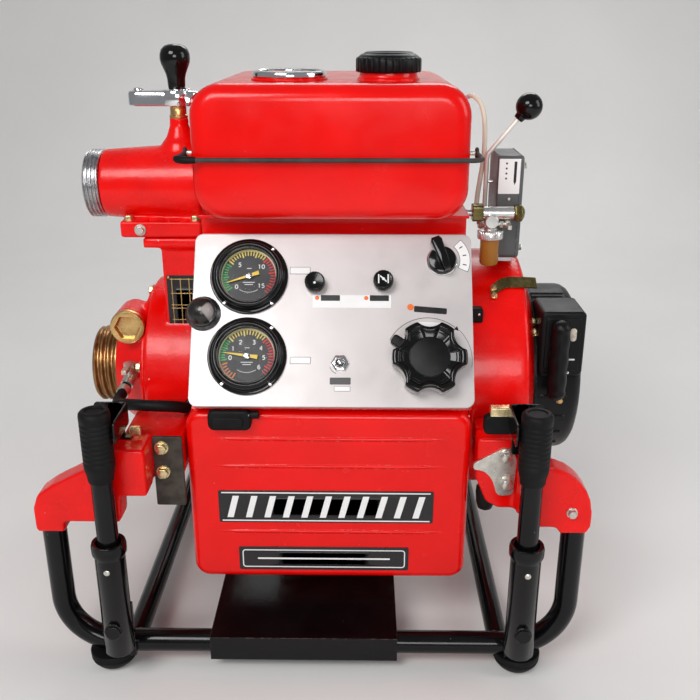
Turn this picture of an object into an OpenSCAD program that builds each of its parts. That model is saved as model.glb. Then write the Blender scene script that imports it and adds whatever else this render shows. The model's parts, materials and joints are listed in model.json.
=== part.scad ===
// Portable fire pump: twin-cylinder engine, centrifugal pump, carrying frame with four handles.
// Millimetres. X points right, Y points back, Z points up. The origin is on the floor, under
// the middle of the machine. The operator stands at the front, on the -Y side.

/* [Frame] */
// Distance between the left and right upright tube centres
frame_w = 558; // [550:1:562]
// Distance between the front and rear tube planes
frame_d = 512; // [508:1:516]
// Outside diameter of the frame tube
tube_d = 25.4; // [24:0.1:25.8]
// Height of the bottom tubes' centre line
rail_z = 29; // [28:0.5:30]
// Centre-line radius of the tube bends
bend_r = 60; // [56:1:62]
// Height of the top of the uprights
upright_top = 198; // [192:1:200]

/* [Carrying handles] */
// Distance of each handle's plane from the middle, front or back
handle_y = 290; // [289.5:0.5:291]
// Side position of the left-hand handles
handle_left_x = 211; // [208:1:214]
// Side position of the right-hand handles
handle_right_x = 224; // [222:1:226]
// Height of the handle pivots
pivot_z = 78; // [77:0.5:80]
// Outside diameter of the handle sleeve
sleeve_d = 31.8; // [30:0.1:32]
// Outside diameter of the sliding bar
bar_d = 22.2; // [20:0.1:23]
// Diameter of the grip
grip_d = 31.4; // [28:0.1:31.6]

/* [Engine and pump] */
// Front-to-back place of the crankshaft and pump axis
axis_y = -20; // [-21:0.5:-19]
// Height of the crankshaft and pump axis
axis_z = 275; // [274:0.5:276]
// Radius of the pump casing
casing_r = 112; // [108:1:113]
// Radius of the flywheel housing
flywheel_case_r = 148; // [144:1:149]
// Radius of the starter housing
starter_r = 106; // [102:1:107]
// Outside radius of the suction thread
suction_thread_r = 48; // [46:0.5:49]
// Bore radius of the suction inlet
suction_bore_r = 37.5; // [35:0.5:38]
// Outside radius of the discharge thread
discharge_thread_r = 38.5; // [37:0.5:39]
// Bore radius of the discharge outlet
discharge_bore_r = 31; // [29:0.5:31]

/* [Fuel tank] */
// Width of the fuel tank
tank_w = 289; // [285:1:290]
// Depth of the fuel tank
tank_d = 280; // [270:2:284]
// Height of the fuel tank
tank_h = 139; // [130:1:140]
// Corner radius of the fuel tank
tank_r = 33; // [26:1:36]

/* [Control panel] */
// Width of the control panel
panel_w = 300; // [298:1:302]
// Length of the control panel up its slope
panel_l = 190; // [188:1:191]
// Tilt of the control panel back from upright, degrees
panel_tilt = 32.5; // [32:0.1:33]
// Outside diameter of a gauge flange
gauge_flange_d = 84; // [82:1:85]

/* [Hidden] */
$fn = 48;
fit = 0.05;         // radial clearance of a running fit
gap = 0.3;          // clearance between painted faces
red = "red";
black = [0.08, 0.08, 0.09];
steel = "silver";

half_w = frame_w / 2;
half_d = frame_d / 2;
tube_r = tube_d / 2;
straight_x = half_w - bend_r;
lug_face = handle_y - sleeve_d / 2 - 0.6;      // front face of each pivot lug
stud_r = 4.95;                                 // pivot stud that carries a handle
foot_x = 229;
rail_places = [-204, 208];                     // the two floor rails
sleeve_top = 181;
sleeve_bottom = 44;
grip_bottom = 255;
grip_top = 330;
arm_face = half_d + tube_r + 2.5;              // outer face of the arm cups

panel_x = 20;
panel_y = -184;
panel_z = 390;
gauge_places = [[-90, 46.5], [-89.5, -41.2]];
throttle_place = [102, -46];
switch_place = [118, 64.5];
choke_place = [54.5, 40];
tickler_place = [-18.5, 38];
toggle_place = [9, -48.5];
lamp_place = [-138, 5];

housing_left = -128;
housing_right = 168;
cover_left = -138;
cover_right = 170;
cover_front = -222;
cover_back = -150;
cover_bottom = 89;
cover_top = 297;

tank_left = -126;
tank_front = -165;
tank_bottom = 490;
tank_top = tank_bottom + tank_h;
filler_x = 79;
filler_y = -90;
level_x = -27;
strap_z = 555;
strap_eye_y = -115;
body_right = -128.5;                            // right face of the discharge body
body_left = -243;

valve_x = -155;                                // discharge valve stem
valve_y = -60;
outlet_z = 513;
plug_r = 22;
way_r = 16;                                     // water way through the valve

primer_y = -55;                                // vacuum lever pivot
primer_z = 470;
fuel_x = 196;                                  // sediment bowl
fuel_y = -98;
fuel_z = 487;
cock_z = 474.5;                                // fuel cock lever's axis
rope_x = 276;                                  // starter rope's plane
rope_z = 326;
rope_pulley_r = rope_z - axis_z;

muffler_y = 208;
muffler_z = 140;
cylinder_places = [-25, 75];

priming_x = -224.2;
drain_x = -223;                                // drain cock's lever
drain_y = -110;
drain_route = [[-226, -121, 284], [-229, -134, 279], [-230, -150, 277], [-228, -166, 281],
    [-219, -181, 288], [-203, -191, 294], [-185, -194, 296], [-168, -188, 296],
    [-155, -174, 296], [-147, -157, 296], [-139, -143.5, 295], [-125, -138, 292],
    [-108, -134, 288]];
fuel_route = [[180, -90.9, 487], [180, -80, 488], [180, -68, 495], [180, -58, 512],
    [179, -48, 536], [178, -36, 562], [177, -22, 586], [176, -6, 601], [175, 10, 604],
    [174, 24, 596], [173, 34, 584], [171, 40, 572], [168, 42, 566], [164, 42, 564.5]];

// ---------- shared shapes ----------

module box(low, high) {
    translate(low)
        cube(high - low);
}

// A cylinder along X, from x0 to x1, about the line at y, z.
module x_cylinder(x0, x1, y, z, r) {
    translate([x0, y, z])
        rotate([0, 90, 0])
            cylinder(h = x1 - x0, r = r);
}

module y_cylinder(y0, y1, x, z, r) {
    translate([x, y0, z])
        rotate([-90, 0, 0])
            cylinder(h = y1 - y0, r = r);
}

module z_cylinder(z0, z1, x, y, r) {
    translate([x, y, z0])
        cylinder(h = z1 - z0, r = r);
}

module x_cone(x0, x1, y, z, r0, r1) {
    translate([x0, y, z])
        rotate([0, 90, 0])
            cylinder(h = x1 - x0, r1 = r0, r2 = r1);
}

// A straight round rod between two points.
module rod(a, b, r) {
    run = b - a;
    translate(a)
        rotate([0, acos(run[2] / norm(run)), atan2(run[1], run[0])])
            cylinder(h = norm(run), r = r);
}

module rounded_square(w, h, r) {
    translate([-w / 2 + r, -h / 2])
        square([w - 2 * r, h]);
    translate([-w / 2, -h / 2 + r])
        square([w, h - 2 * r]);
    for (x = [-w / 2 + r, w / 2 - r], y = [-h / 2 + r, h / 2 - r])
        translate([x, y])
            circle(r);
}

// Extrudes a profile drawn in X and Z from y0 to y1.
module extrude_y(y0, y1) {
    translate([0, y1, 0])
        rotate([90, 0, 0])
            linear_extrude(y1 - y0)
                children();
}

// Places a child on the panel: u across, v up the slope, h out of its face.
module on_panel(place, h = 0) {
    translate([panel_x, panel_y, panel_z])
        rotate([90 - panel_tilt, 0, 0])
            translate([place[0], place[1], h])
                children();
}

module front_and_rear() {
    children();
    mirror([0, 1, 0])
        children();
}

// One closed tube of the given sides swept along a route of points.
function direction(route, i) =
    let (a = route[max(i - 1, 0)], b = route[min(i + 1, len(route) - 1)]) (b - a) / norm(b - a);
function ring(route, i, r, sides) =
    let (t = direction(route, i), s = cross(t, [0, 0, 1]) / norm(cross(t, [0, 0, 1])),
        q = cross(s, t))
    [for (k = [0 : sides - 1]) route[i] + r * (cos(k * 360 / sides) * s + sin(k * 360 / sides) * q)];
module sweep(route, r, sides = 10) {
    last = len(route) - 1;
    polyhedron(
        points = [for (i = [0 : last]) each ring(route, i, r, sides)],
        faces = concat(
            [[for (k = [0 : sides - 1]) k]],
            [[for (k = [sides - 1 : -1 : 0]) last * sides + k]],
            [for (i = [0 : last - 1], k = [0 : sides - 1])
                [i * sides + k, (i + 1) * sides + k,
                 (i + 1) * sides + (k + 1) % sides, i * sides + (k + 1) % sides]]));
}

// ---------- carrying frame ----------

// The bent tube of one end, as a solid of radius r.
module end_tube(r) {
    x_cylinder(-straight_x, straight_x, -half_d, rail_z, r);
    for (side = [-1, 1]) {
        z_cylinder(rail_z + bend_r, upright_top, side * half_w, -half_d, r);
        translate([side * straight_x, -half_d, rail_z + bend_r])
            rotate([90, 0, 0])
                rotate([0, 0, side > 0 ? -90 : 180])
                    rotate_extrude(angle = 90)
                        translate([bend_r, 0])
                            circle(r);
    }
}

// A plate on the tube's outer side and its headed stud, which carry one handle.
module pivot_lug(x) {
    head_y = -handle_y - sleeve_d / 2 - 0.6;
    plate_back = -half_d - tube_r - 0.1;
    box([x - 12, -lug_face, rail_z - 8], [x + 12, plate_back, pivot_z + 12]);
    y_cylinder(head_y, -lug_face + 2, x, pivot_z, stud_r);
    y_cylinder(head_y - 2.4, head_y, x, pivot_z, 8);
}

module frame_end() {
    color(black) {
        end_tube(tube_r);
        for (x = [-handle_left_x, handle_right_x])
            pivot_lug(x);
    }
}

module front_frame_tube() {
    frame_end();
}

module rear_frame_tube() {
    mirror([0, 1, 0])
        frame_end();
}

module floor_rails() {
    color(black)
        for (x = rail_places)
            difference() {
                y_cylinder(-half_d, half_d, x, rail_z, 12);
                front_and_rear()
                    x_cylinder(x - 20, x + 20, -half_d, rail_z, tube_r + fit);
            }
}

module base_tray() {
    lip = half_d + tube_r + 0.5;
    plate_z = rail_z + tube_r + gap;
    color(black) {
        box([-116, -lip - 2.5, plate_z], [93, lip + 2.5, plate_z + 2.5]);
        front_and_rear()
            box([-116, -lip - 2.5, rail_z - 14], [93, -lip, plate_z + 2.5]);
    }
}

module rubber_feet() {
    color([0.05, 0.05, 0.05])
        front_and_rear()
            difference() {
                for (x = [-foot_x, foot_x]) {
                    translate([x, -half_d, 0])
                        cylinder(h = 11, r1 = 16, r2 = 26);
                    z_cylinder(11, 21, x, -half_d, 26);
                }
                end_tube(tube_r + fit);
                for (x = rail_places)
                    y_cylinder(-half_d - 1, -200, x, rail_z, 12 + fit);
            }
}

// ---------- engine supports ----------

// Side outline of a left arm and of a right arm, in X and Z.
left_arm = [[-302, 184], [-302, 206], [-294, 222], [-246, 247], [-216, 262], [-208, 275],
    [-171.2, 275], [-171.2, 222], [-200, 222], [-202, 190], [-262, 192], [-262, 178],
    [-297, 178]];
right_corner = 54.5;
right_arm = concat([[291, 184], [293.5, 190]],
    [for (a = [0 : 15 : 90]) [239 + right_corner * cos(a), 204 + right_corner * sin(a)]],
    [[222, 260], [222, 188], [257, 188], [262, 181], [288, 181]]);
right_block = [[176, 272], [176, 224], [188, 196], [202, 188], [240, 188], [240, 272]];
web_back = arm_face - 30;
plate_back = 232;                              // where the bolted plates sit

// The arms of one end, seen from the front; each beam reaches in to its own distance.
module arms(left_reach, right_reach) {
    difference() {
        union() {
            extrude_y(-arm_face, -web_back)
                polygon(left_arm);
            extrude_y(-arm_face, -web_back)
                polygon(right_arm);
            box([-206, -web_back - 1, 225], [-171.2, -plate_back + 5, 275]);
            box([-206, -plate_back + 0.1, 225], [-140, -left_reach, 270]);
            extrude_y(-plate_back + 0.1, -plate_back + 26)
                polygon(right_block);
            box([219, -web_back - 1, 188], [240, -plate_back + 1, 272]);
            box([178, -plate_back + 25, 225], [240, -right_reach, 270]);
        }
        for (side = [-1, 1])
            z_cylinder(160, upright_top + 0.2, side * half_w, -half_d, tube_r + fit);
    }
}

module mounting_arms() {
    color(red) {
        arms(136, 171);
        mirror([0, 1, 0])
            arms(96, 131);
    }
}

left_bolts = [[-161, 262], [-161, 233]];
right_bolts = [[206, 254], [208, 222]];
right_plate = [[172, 245], [172, 238], [184, 236], [193, 226], [199, 206], [216, 207],
    [218, 250], [212, 262], [203, 263]];

module plate_bolt(place) {
    face = -plate_back - 4.1;
    y_cylinder(face - 1.5, face, place[0], place[1], 8);
    translate([place[0], face - 1.5, place[1]])
        rotate([90, 0, 0])
            cylinder(h = 5.5, r = 6.5, $fn = 6);
}

// A catch behind each grip, with a lip on the inner side that stops the handle.
module handle_catch(x, inner, base_z) {
    ear_x = x + inner * (grip_d / 2 + 3.5);
    back = -web_back - 1.1;
    box([x - 15, back - 2, base_z], [x + 15, back, 318]);
    box([min(ear_x, x), back - 2, 294], [max(ear_x, x), back, 318]);
    box([ear_x - 1, -handle_y - 6, 294], [ear_x + 1, back, 318]);
}

module bolted_plates() {
    color(steel)
        front_and_rear() {
            box([-170.8, -plate_back - 4, 192], [-139, -plate_back, 274]);
            extrude_y(-plate_back - 4, -plate_back)
                polygon(right_plate);
            for (b = concat(left_bolts, right_bolts))
                plate_bolt(b);
            handle_catch(-handle_left_x, 1, 275.2);
            box([-206, -web_back - 3.1, 275.2], [-190, -web_back + 10, 277.2]);
            handle_catch(handle_right_x, -1, 260);
        }
}

// ---------- carrying handles ----------

module sleeve(x) {
    color(black)
        difference() {
            union() {
                z_cylinder(sleeve_bottom, sleeve_top, x, -handle_y, sleeve_d / 2);
                z_cylinder(sleeve_top - 11, sleeve_top, x, -handle_y, 18);
            }
            z_cylinder(pivot_z + 16, sleeve_top + 1, x, -handle_y, bar_d / 2 + fit);
            y_cylinder(-handle_y - 20, -handle_y + 20, x, pivot_z, stud_r + fit);
        }
}

module grip(x) {
    color(black) {
        z_cylinder(pivot_z + 20, grip_top - 4, x, -handle_y, bar_d / 2);
        translate([x, -handle_y, grip_bottom])
            cylinder(h = 14, r1 = bar_d / 2 + 1.5, r2 = grip_d / 2);
        z_cylinder(grip_bottom + 14, grip_top - 5, x, -handle_y, grip_d / 2);
        translate([x, -handle_y, grip_top - 5])
            cylinder(h = 5, r1 = grip_d / 2, r2 = grip_d / 2 - 4);
    }
}

module sleeve_front_left() { sleeve(-handle_left_x); }
module sleeve_front_right() { sleeve(handle_right_x); }
module sleeve_rear_left() { mirror([0, 1, 0]) sleeve(-handle_left_x); }
module sleeve_rear_right() { mirror([0, 1, 0]) sleeve(handle_right_x); }
module grip_front_left() { grip(-handle_left_x); }
module grip_front_right() { grip(handle_right_x); }
module grip_rear_left() { mirror([0, 1, 0]) grip(-handle_left_x); }
module grip_rear_right() { mirror([0, 1, 0]) grip(handle_right_x); }

// ---------- engine ----------

module crankcase() {
    color(red)
        difference() {
            union() {
                x_cylinder(-118, 172, axis_y, axis_z, 78);
                x_cylinder(172, 239, axis_y, axis_z, flywheel_case_r);
                x_cone(239, 252, axis_y, axis_z, flywheel_case_r, starter_r + 8);
            }
            x_cylinder(-104, 158, axis_y, axis_z, 66);
            x_cylinder(-119, 177, axis_y, axis_z, 26 + fit);
            x_cylinder(177, 234, axis_y, axis_z, flywheel_case_r - 10);
            x_cylinder(230, 253, axis_y, axis_z, starter_r - 6);
            for (x = cylinder_places)
                y_cylinder(axis_y, 70, x, axis_z, 33);
        }
}

module cylinder_block() {
    color(red) {
        difference() {
            box([-75, 40, 220], [125, 160, 330]);
            x_cylinder(-80, 130, axis_y, axis_z, 78 + gap);
            for (x = cylinder_places)
                y_cylinder(30, 161, x, axis_z, 33);
        }
        difference() {
            union() {
                box([-78, 160.2, 216], [128, 192, 334]);
                for (x = cylinder_places)
                    y_cylinder(192, 200, x, axis_z, 30);
            }
            for (x = cylinder_places)
                y_cylinder(160, 201, x, axis_z, 7 + fit);
        }
    }
}

module spark_plugs() {
    color("gainsboro")
        for (x = cylinder_places) {
            y_cylinder(164, 200, x, axis_z, 7);
            translate([x, 200, axis_z])
                rotate([-90, 0, 0])
                    cylinder(h = 10, r = 10.5, $fn = 6);
            y_cylinder(210, 238, x, axis_z, 6);
            y_cylinder(238, 252, x, axis_z, 9);
        }
}

module carburettor() {
    color(steel) {
        box([4, -62, 353.5], [56, 4, 400]);
        x_cylinder(56, 84, -29, 384, 21);
        z_cylinder(400, 428, 30, -30, 17);
    }
    color(black)
        box([-96, -84, 364], [3.7, 18, 452]);
}

module muffler() {
    color([0.25, 0.25, 0.26])
        difference() {
            union() {
                x_cylinder(-165, 105, muffler_y, muffler_z, 46);
                for (x = cylinder_places)
                    z_cylinder(muffler_z + 20, 219.7, x, 138, 19);
                box([-50, 110, 164], [100, 168, 190]);
                x_cylinder(-203, -164, muffler_y, muffler_z, 16.5);
            }
            x_cylinder(-204, -150, muffler_y, muffler_z, 14);
        }
}

module starter_motor() {
    color(black) {
        x_cylinder(24, 150, -112, 184, 31);
        x_cylinder(150, 171.5, -112, 184, 24);
        x_cylinder(44, 128, -112, 232, 15);
    }
}

module shaft_bearings() {
    color(steel)
        for (x = [-117.5, 160.5])
            difference() {
                x_cylinder(x, x + 14, axis_y, axis_z, 26);
                x_cylinder(x - 1, x + 15, axis_y, axis_z, 12 + fit);
            }
}

// The twin-throw shaft, with its flywheel at the starter end.
module crankshaft() {
    throw = 25;
    color(steel) {
        difference() {
            x_cylinder(-192, 232, axis_y, axis_z, 12);
            for (x = cylinder_places)
                x_cylinder(x - 9, x + 9, axis_y, axis_z, 13);
        }
        for (i = [0, 1]) {
            side = i == 0 ? 1 : -1;
            x_cylinder(cylinder_places[i] - 10, cylinder_places[i] + 10,
                axis_y + side * throw, axis_z, 11);
            for (x = [-19, 9])
                x_cylinder(cylinder_places[i] + x, cylinder_places[i] + x + 10,
                    axis_y, axis_z, 50);
        }
    }
    color("dimgray")
        difference() {
            x_cylinder(188, 222, axis_y, axis_z, 116);
            x_cylinder(196, 223, axis_y, axis_z, 92);
        }
}

// ---------- pump ----------

module pump_casing() {
    color(red)
        difference() {
            union() {
                x_cylinder(-203, -131, axis_y, axis_z, casing_r);
                x_cylinder(-131, -118.2, axis_y, axis_z, 76);
                box([-178, -98, 330], [-131, -22, 450]);
                box([-197, -102, 446], [-129, -18, 458]);
            }
            x_cylinder(-204, -137, axis_y, axis_z, 88);
            x_cylinder(-138, -118, axis_y, axis_z, 13);
            z_cylinder(330, 459, valve_x, valve_y, way_r);
        }
}

module suction_cover() {
    color(red)
        difference() {
            union() {
                x_cone(-250, -209, axis_y, axis_z, 60, 90);
                x_cylinder(-209, -203.2, axis_y, axis_z, 104);
                y_cylinder(-92, -50, priming_x, 350, 20.8);
            }
            x_cylinder(-251, -203, axis_y, axis_z, suction_bore_r + 2.5);
            y_cylinder(-93, -70, priming_x, 350, 15 + fit);
            y_cylinder(-106, -92, priming_x, 350, 21.2);
        }
}

module suction_fitting() {
    color("peru")
        difference() {
            union() {
                x_cylinder(-283, -254, axis_y, axis_z, suction_thread_r);
                x_cylinder(-254, -250.2, axis_y, axis_z, 53);
            }
            x_cylinder(-284, -250, axis_y, axis_z, suction_bore_r);
        }
}

module priming_plug() {
    color("goldenrod")
        difference() {
            union() {
                y_cylinder(-92.2, -74, priming_x, 350, 15);
                y_cylinder(-101, -92.1, priming_x, 350, 20.5);
            }
            translate([priming_x, -102, 350])
                rotate([-90, 0, 0])
                    cylinder(h = 7, r = 15, $fn = 6);
        }
}

module drain_cock() {
    color(steel)
        difference() {
            union() {
                rod([-220, -94, 299.4], drain_route[0] + [0.4, 1.9, 1.1], 7.5);
                z_cylinder(290, 304, drain_x, drain_y, 5);
            }
            x_cone(-250, -209, axis_y, axis_z, 60 + fit, 90 + fit);
        }
}

module drain_lever() {
    color(steel)
        difference() {
            union() {
                z_cylinder(304.2, 309, drain_x, drain_y, 7);
                box([drain_x - 3, drain_y - 26, 304.2], [drain_x + 3, drain_y, 309]);
            }
            z_cylinder(304, 310, drain_x, drain_y, 1);
        }
}

module impeller() {
    color("peru") {
        difference() {
            union() {
                x_cylinder(-158, -150, axis_y, axis_z, 74);
                x_cylinder(-186, -144, axis_y, axis_z, 19);
                for (a = [0 : 60 : 300])
                    translate([-158, axis_y, axis_z])
                        rotate([a, 0, 0])
                            translate([-16, 16, -2.5])
                                cube([17, 56, 5]);
            }
            x_cylinder(-187, -139, axis_y, axis_z, 12 + fit);
        }
    }
}

// ---------- discharge valve ----------

module discharge_body() {
    color(red)
        difference() {
            union() {
                box([-221, -104, 458.2], [body_right, -18, 477]);
                x_cone(body_left, body_right, valve_y, outlet_z, 38, 46);
                z_cylinder(470, outlet_z, valve_x, valve_y, 26);
                translate([valve_x, valve_y, 548])
                    cylinder(h = 18, r1 = 25, r2 = 17);
                z_cylinder(566, 586, valve_x, valve_y, 17);
            }
            z_cylinder(458, 486, valve_x, valve_y, way_r);
            z_cylinder(484, 541, valve_x, valve_y, plug_r + fit);
            z_cylinder(540, 587, valve_x, valve_y, 7 + fit);
            x_cylinder(body_left - 1, valve_x, valve_y, outlet_z, way_r);
            x_cylinder(body_left - 1, -200, valve_y, outlet_z, discharge_bore_r + 2);
        }
}

module discharge_outlet() {
    color("lightgray")
        difference() {
            x_cylinder(body_left - 18, body_left - 0.2, valve_y, outlet_z, discharge_thread_r);
            x_cylinder(body_left - 19, body_left, valve_y, outlet_z, discharge_bore_r);
        }
}

// A rotary plug, open at the bottom and on one side, with its stem.
module valve_plug() {
    color("goldenrod") {
        difference() {
            z_cylinder(486, 540, valve_x, valve_y, plug_r);
            z_cylinder(485, 535, valve_x, valve_y, plug_r - 4);
            x_cylinder(valve_x - 40, valve_x, valve_y, outlet_z, way_r);
        }
        z_cylinder(540, 602, valve_x, valve_y, 7);
    }
}

module discharge_lever() {
    color(steel)
        difference() {
            union() {
                z_cylinder(602, 616, valve_x, valve_y, 17);
                box([-198, -71, 602], [valve_x, -49, 615]);
                z_cylinder(602, 615, -198, valve_y, 11);
                z_cylinder(602, 615, -143, valve_y, 11);
                z_cylinder(598, 602, valve_x, valve_y, 9);
            }
            z_cylinder(597, 602.2, valve_x, valve_y, 7 + fit);
        }
    color(black) {
        translate([valve_x, valve_y, 616])
            cylinder(h = 22, r1 = 9, r2 = 12);
        translate([valve_x, valve_y, 648])
            sphere(16.5);
        translate([valve_x, valve_y, 630])
            cylinder(h = 18, r1 = 10, r2 = 16.3);
    }
}

// ---------- fuel ----------

module tank_blank(inset) {
    translate([tank_left + tank_w / 2, 0, tank_bottom + tank_h / 2])
        extrude_y(tank_front + inset, tank_front + tank_d - inset)
            rounded_square(tank_w - 2 * inset, tank_h - 2 * inset, tank_r - inset);
}

module fuel_tank() {
    stud = 13;
    color(red) {
        difference() {
            union() {
                tank_blank(0);
                z_cylinder(tank_top - 1, 651.5, filler_x, filler_y, 31);
                x_cylinder(tank_left - stud, tank_left + 4, strap_eye_y, strap_z, 2.5);
                x_cylinder(tank_left + tank_w - 4, tank_left + tank_w + stud,
                    strap_eye_y, strap_z, 2.5);
            }
            difference() {
                tank_blank(2);
                x_cylinder(tank_left - stud, tank_left + 4, strap_eye_y, strap_z, 2.5);
                x_cylinder(tank_left + tank_w - 4, tank_left + tank_w + stud,
                    strap_eye_y, strap_z, 2.5);
            }
            z_cylinder(tank_top - 10, 652, filler_x, filler_y, 28);
        }
    }
}

module fuel_cap() {
    color(black)
        difference() {
            union() {
                z_cylinder(637, 651, filler_x, filler_y, 35);
                translate([filler_x, filler_y, 651])
                    cylinder(h = 7, r1 = 35, r2 = 26);
            }
            z_cylinder(636, 652, filler_x, filler_y, 31 + fit);
        }
}

module fuel_level_gauge() {
    color(steel)
        z_cylinder(tank_top + 0.1, 641, level_x, filler_y, 40);
}

module tank_strap() {
    left = tank_left - 10;
    right = tank_left + tank_w + 10;
    front = tank_front - 6;
    corner = 12;
    color(black)
        difference() {
            union() {
                x_cylinder(left + corner, right - corner, front, strap_z, 2.5);
                for (end = [[left, 1, 180], [right, -1, 270]]) {
                    y_cylinder(front + corner, strap_eye_y - 4, end[0], strap_z, 2.5);
                    x_cylinder(end[0] - 3.5, end[0] + 3.5, strap_eye_y, strap_z, 6);
                    translate([end[0] + end[1] * corner, front + corner, strap_z])
                        rotate([0, 0, end[2]])
                            rotate_extrude(angle = 90)
                                translate([corner, 0])
                                    circle(2.5);
                }
            }
            x_cylinder(left - 5, right + 5, strap_eye_y, strap_z, 2.5 + fit);
        }
}

module fuel_cock() {
    bowl_top = 458;
    color(steel) {
        x_cylinder(housing_right + 7, 226, fuel_y, fuel_z, 7);
        x_cylinder(226, 237, fuel_y, fuel_z, 9);
        x_cylinder(housing_right + 0.2, housing_right + 7, fuel_y, fuel_z, 4);
        translate([fuel_x, fuel_y, 478])
            sphere(9.5);
        z_cylinder(466, 476, fuel_x, fuel_y, 8);
        z_cylinder(bowl_top, 468, fuel_x, fuel_y, 14.5);
        x_cylinder(fuel_x, 218, fuel_y, cock_z, 2.5);
    }
    color("sienna")
        z_cylinder(427, bowl_top - 0.05, fuel_x, fuel_y, 10.7);
}

module fuel_cock_lever() {
    color(steel)
        difference() {
            union() {
                x_cylinder(212, 217, fuel_y, cock_z, 4.5);
                box([212.5, fuel_y - 20, cock_z - 2.3], [216.5, fuel_y, cock_z + 2.3]);
            }
            x_cylinder(211, 218, fuel_y, cock_z, 2.5 + fit);
        }
}

module hoses() {
    color(black)
        sweep(drain_route, 6.5);
    color("wheat")
        sweep(fuel_route, 2.8);
}

// ---------- control panel ----------

module control_panel() {
    fold = 10;
    color("gainsboro")
        on_panel([0, 0], -fold)
            difference() {
                linear_extrude(fold)
                    rounded_square(panel_w, panel_l, 9);
                translate([0, 0, -1])
                    linear_extrude(fold - 1)
                        rounded_square(panel_w - 4, panel_l - 4, 7);
                for (p = gauge_places)
                    translate([p[0], p[1], 0])
                        cylinder(h = 30, r = 31.4);
                for (p = [throttle_place, switch_place, choke_place, tickler_place])
                    translate([p[0], p[1], 0])
                        cylinder(h = 30, r = 4 + fit);
                translate([toggle_place[0], toggle_place[1], 0])
                    cylinder(h = 30, r = 4);
                translate([lamp_place[0], lamp_place[1], 0])
                    cylinder(h = 30, r = 6 + gap);
            }
}

// Outline of the box behind the panel, in Y and Z.
function housing_outline(wall) =
    [[-226 + 1.9 * wall, 303 + wall], [-125 - 0.1 * wall, 463 - wall],
     [-101 - wall, 463 - wall], [-101 - wall, 303 + wall]];

module extrude_x(x0, x1) {
    translate([x0, 0, 0])
        rotate([90, 0, 90])
            linear_extrude(x1 - x0)
                children();
}

module panel_housing() {
    shelf_top = tank_bottom - gap;
    color(red) {
        difference() {
            extrude_x(housing_left, housing_right)
                polygon(housing_outline(0));
            extrude_x(housing_left + 2, housing_right - 2)
                polygon(housing_outline(2));
            on_panel([0, 0], -16)
                linear_extrude(10)
                    rounded_square(panel_w - 16, panel_l - 16, 4);
        }
        box([housing_left, -124, 460], [housing_right, -101, 463]);
        box([housing_left, -104, 462], [housing_right, -101, shelf_top]);
        box([housing_left, -128, shelf_top - 3], [housing_right, 105, shelf_top]);
    }
}

module gauge_cases() {
    color(black)
        for (p = gauge_places)
            on_panel(p)
                difference() {
                    union() {
                        translate([0, 0, 0.1])
                            cylinder(h = 3, r = gauge_flange_d / 2);
                        translate([0, 0, 3])
                            cylinder(h = 9, r1 = 37, r2 = 34);
                        translate([0, 0, -32])
                            cylinder(h = 33, r = 31);
                    }
                    difference() {
                        translate([0, 0, 1])
                            cylinder(h = 12, r = 30);
                        cylinder(h = 5.5, r = 1.5);
                    }
                }
}

module panel_lamp() {
    color(steel)
        on_panel(lamp_place) {
            translate([0, 0, -9])
                cylinder(h = 10, r = 6);
            translate([0, 0, 0.1])
                cylinder(h = 9, r = 19);
            difference() {
                translate([0, 0, 6])
                    sphere(17);
                translate([0, 0, -13])
                    cube(38, center = true);
            }
        }
}

// A gauge pointer that turns on its post, pointing at the given angle.
module needle(place, angle) {
    color("gold")
        on_panel(place)
            rotate([0, 0, angle])
                difference() {
                    union() {
                        translate([0, 0, 2.6])
                            cylinder(h = 2, r = 4);
                        translate([0, -0.8, 3])
                            cube([25, 1.6, 1.2]);
                        translate([-13, -2, 3])
                            cube([13, 4, 1.2]);
                    }
                    translate([0, 0, 2])
                        cylinder(h = 4, r = 1.5 + fit);
                }
}

module pressure_needle() { needle(gauge_places[0], 198.6); }
module vacuum_needle() { needle(gauge_places[1], 172.4); }

module throttle_dial() {
    color(black)
        on_panel(throttle_place) {
            translate([0, 0, -8])
                cylinder(h = 9, r = 4);
            difference() {
                translate([0, 0, 6])
                    cylinder(h = 22, r = 39);
                for (a = [30 : 60 : 330])
                    rotate([0, 0, a])
                        translate([50, 0, 5])
                            cylinder(h = 24, r = 18);
            }
            translate([0, 0, 0.5])
                cylinder(h = 6, r = 28);
            rotate([0, 0, 148])
                translate([20, -5.5, 1])
                    cube([25, 11, 9]);
        }
}

module switch_knob() {
    color(black)
        on_panel(switch_place) {
            translate([0, 0, -8])
                cylinder(h = 9, r = 4);
            translate([0, 0, 0.5])
                cylinder(h = 9, r = 16.5);
            rotate([0, 0, 110.6])
                translate([-14, -5, 9])
                    cube([38, 10, 10]);
        }
}

module pull_knob(place) {
    color(black)
        on_panel(place) {
            translate([0, 0, -38])
                cylinder(h = 39, r = 4);
            translate([0, 0, 0.6])
                cylinder(h = 4, r = 7);
            translate([0, 0, 4])
                cylinder(h = 11, r = 10.8);
        }
}

module choke_knob() { pull_knob(choke_place); }
module tickler_knob() { pull_knob(tickler_place); }

module light_toggle() {
    color(steel)
        on_panel(toggle_place) {
            difference() {
                translate([0, 0, 0])
                    sphere(3.6);
                translate([0, 0, -6])
                    cube(10, center = true);
            }
            cylinder(h = 11, r1 = 1.8, r2 = 2.8);
        }
}

// ---------- covers and electrics ----------

module cover_blank(inset, y0, y1) {
    mid_x = (cover_left + cover_right) / 2;
    mid_z = (cover_bottom + cover_top) / 2;
    translate([mid_x, 0, mid_z])
        extrude_y(y0, y1)
            rounded_square(cover_right - cover_left - 2 * inset,
                cover_top - cover_bottom - 2 * inset, 18 - inset);
}

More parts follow.
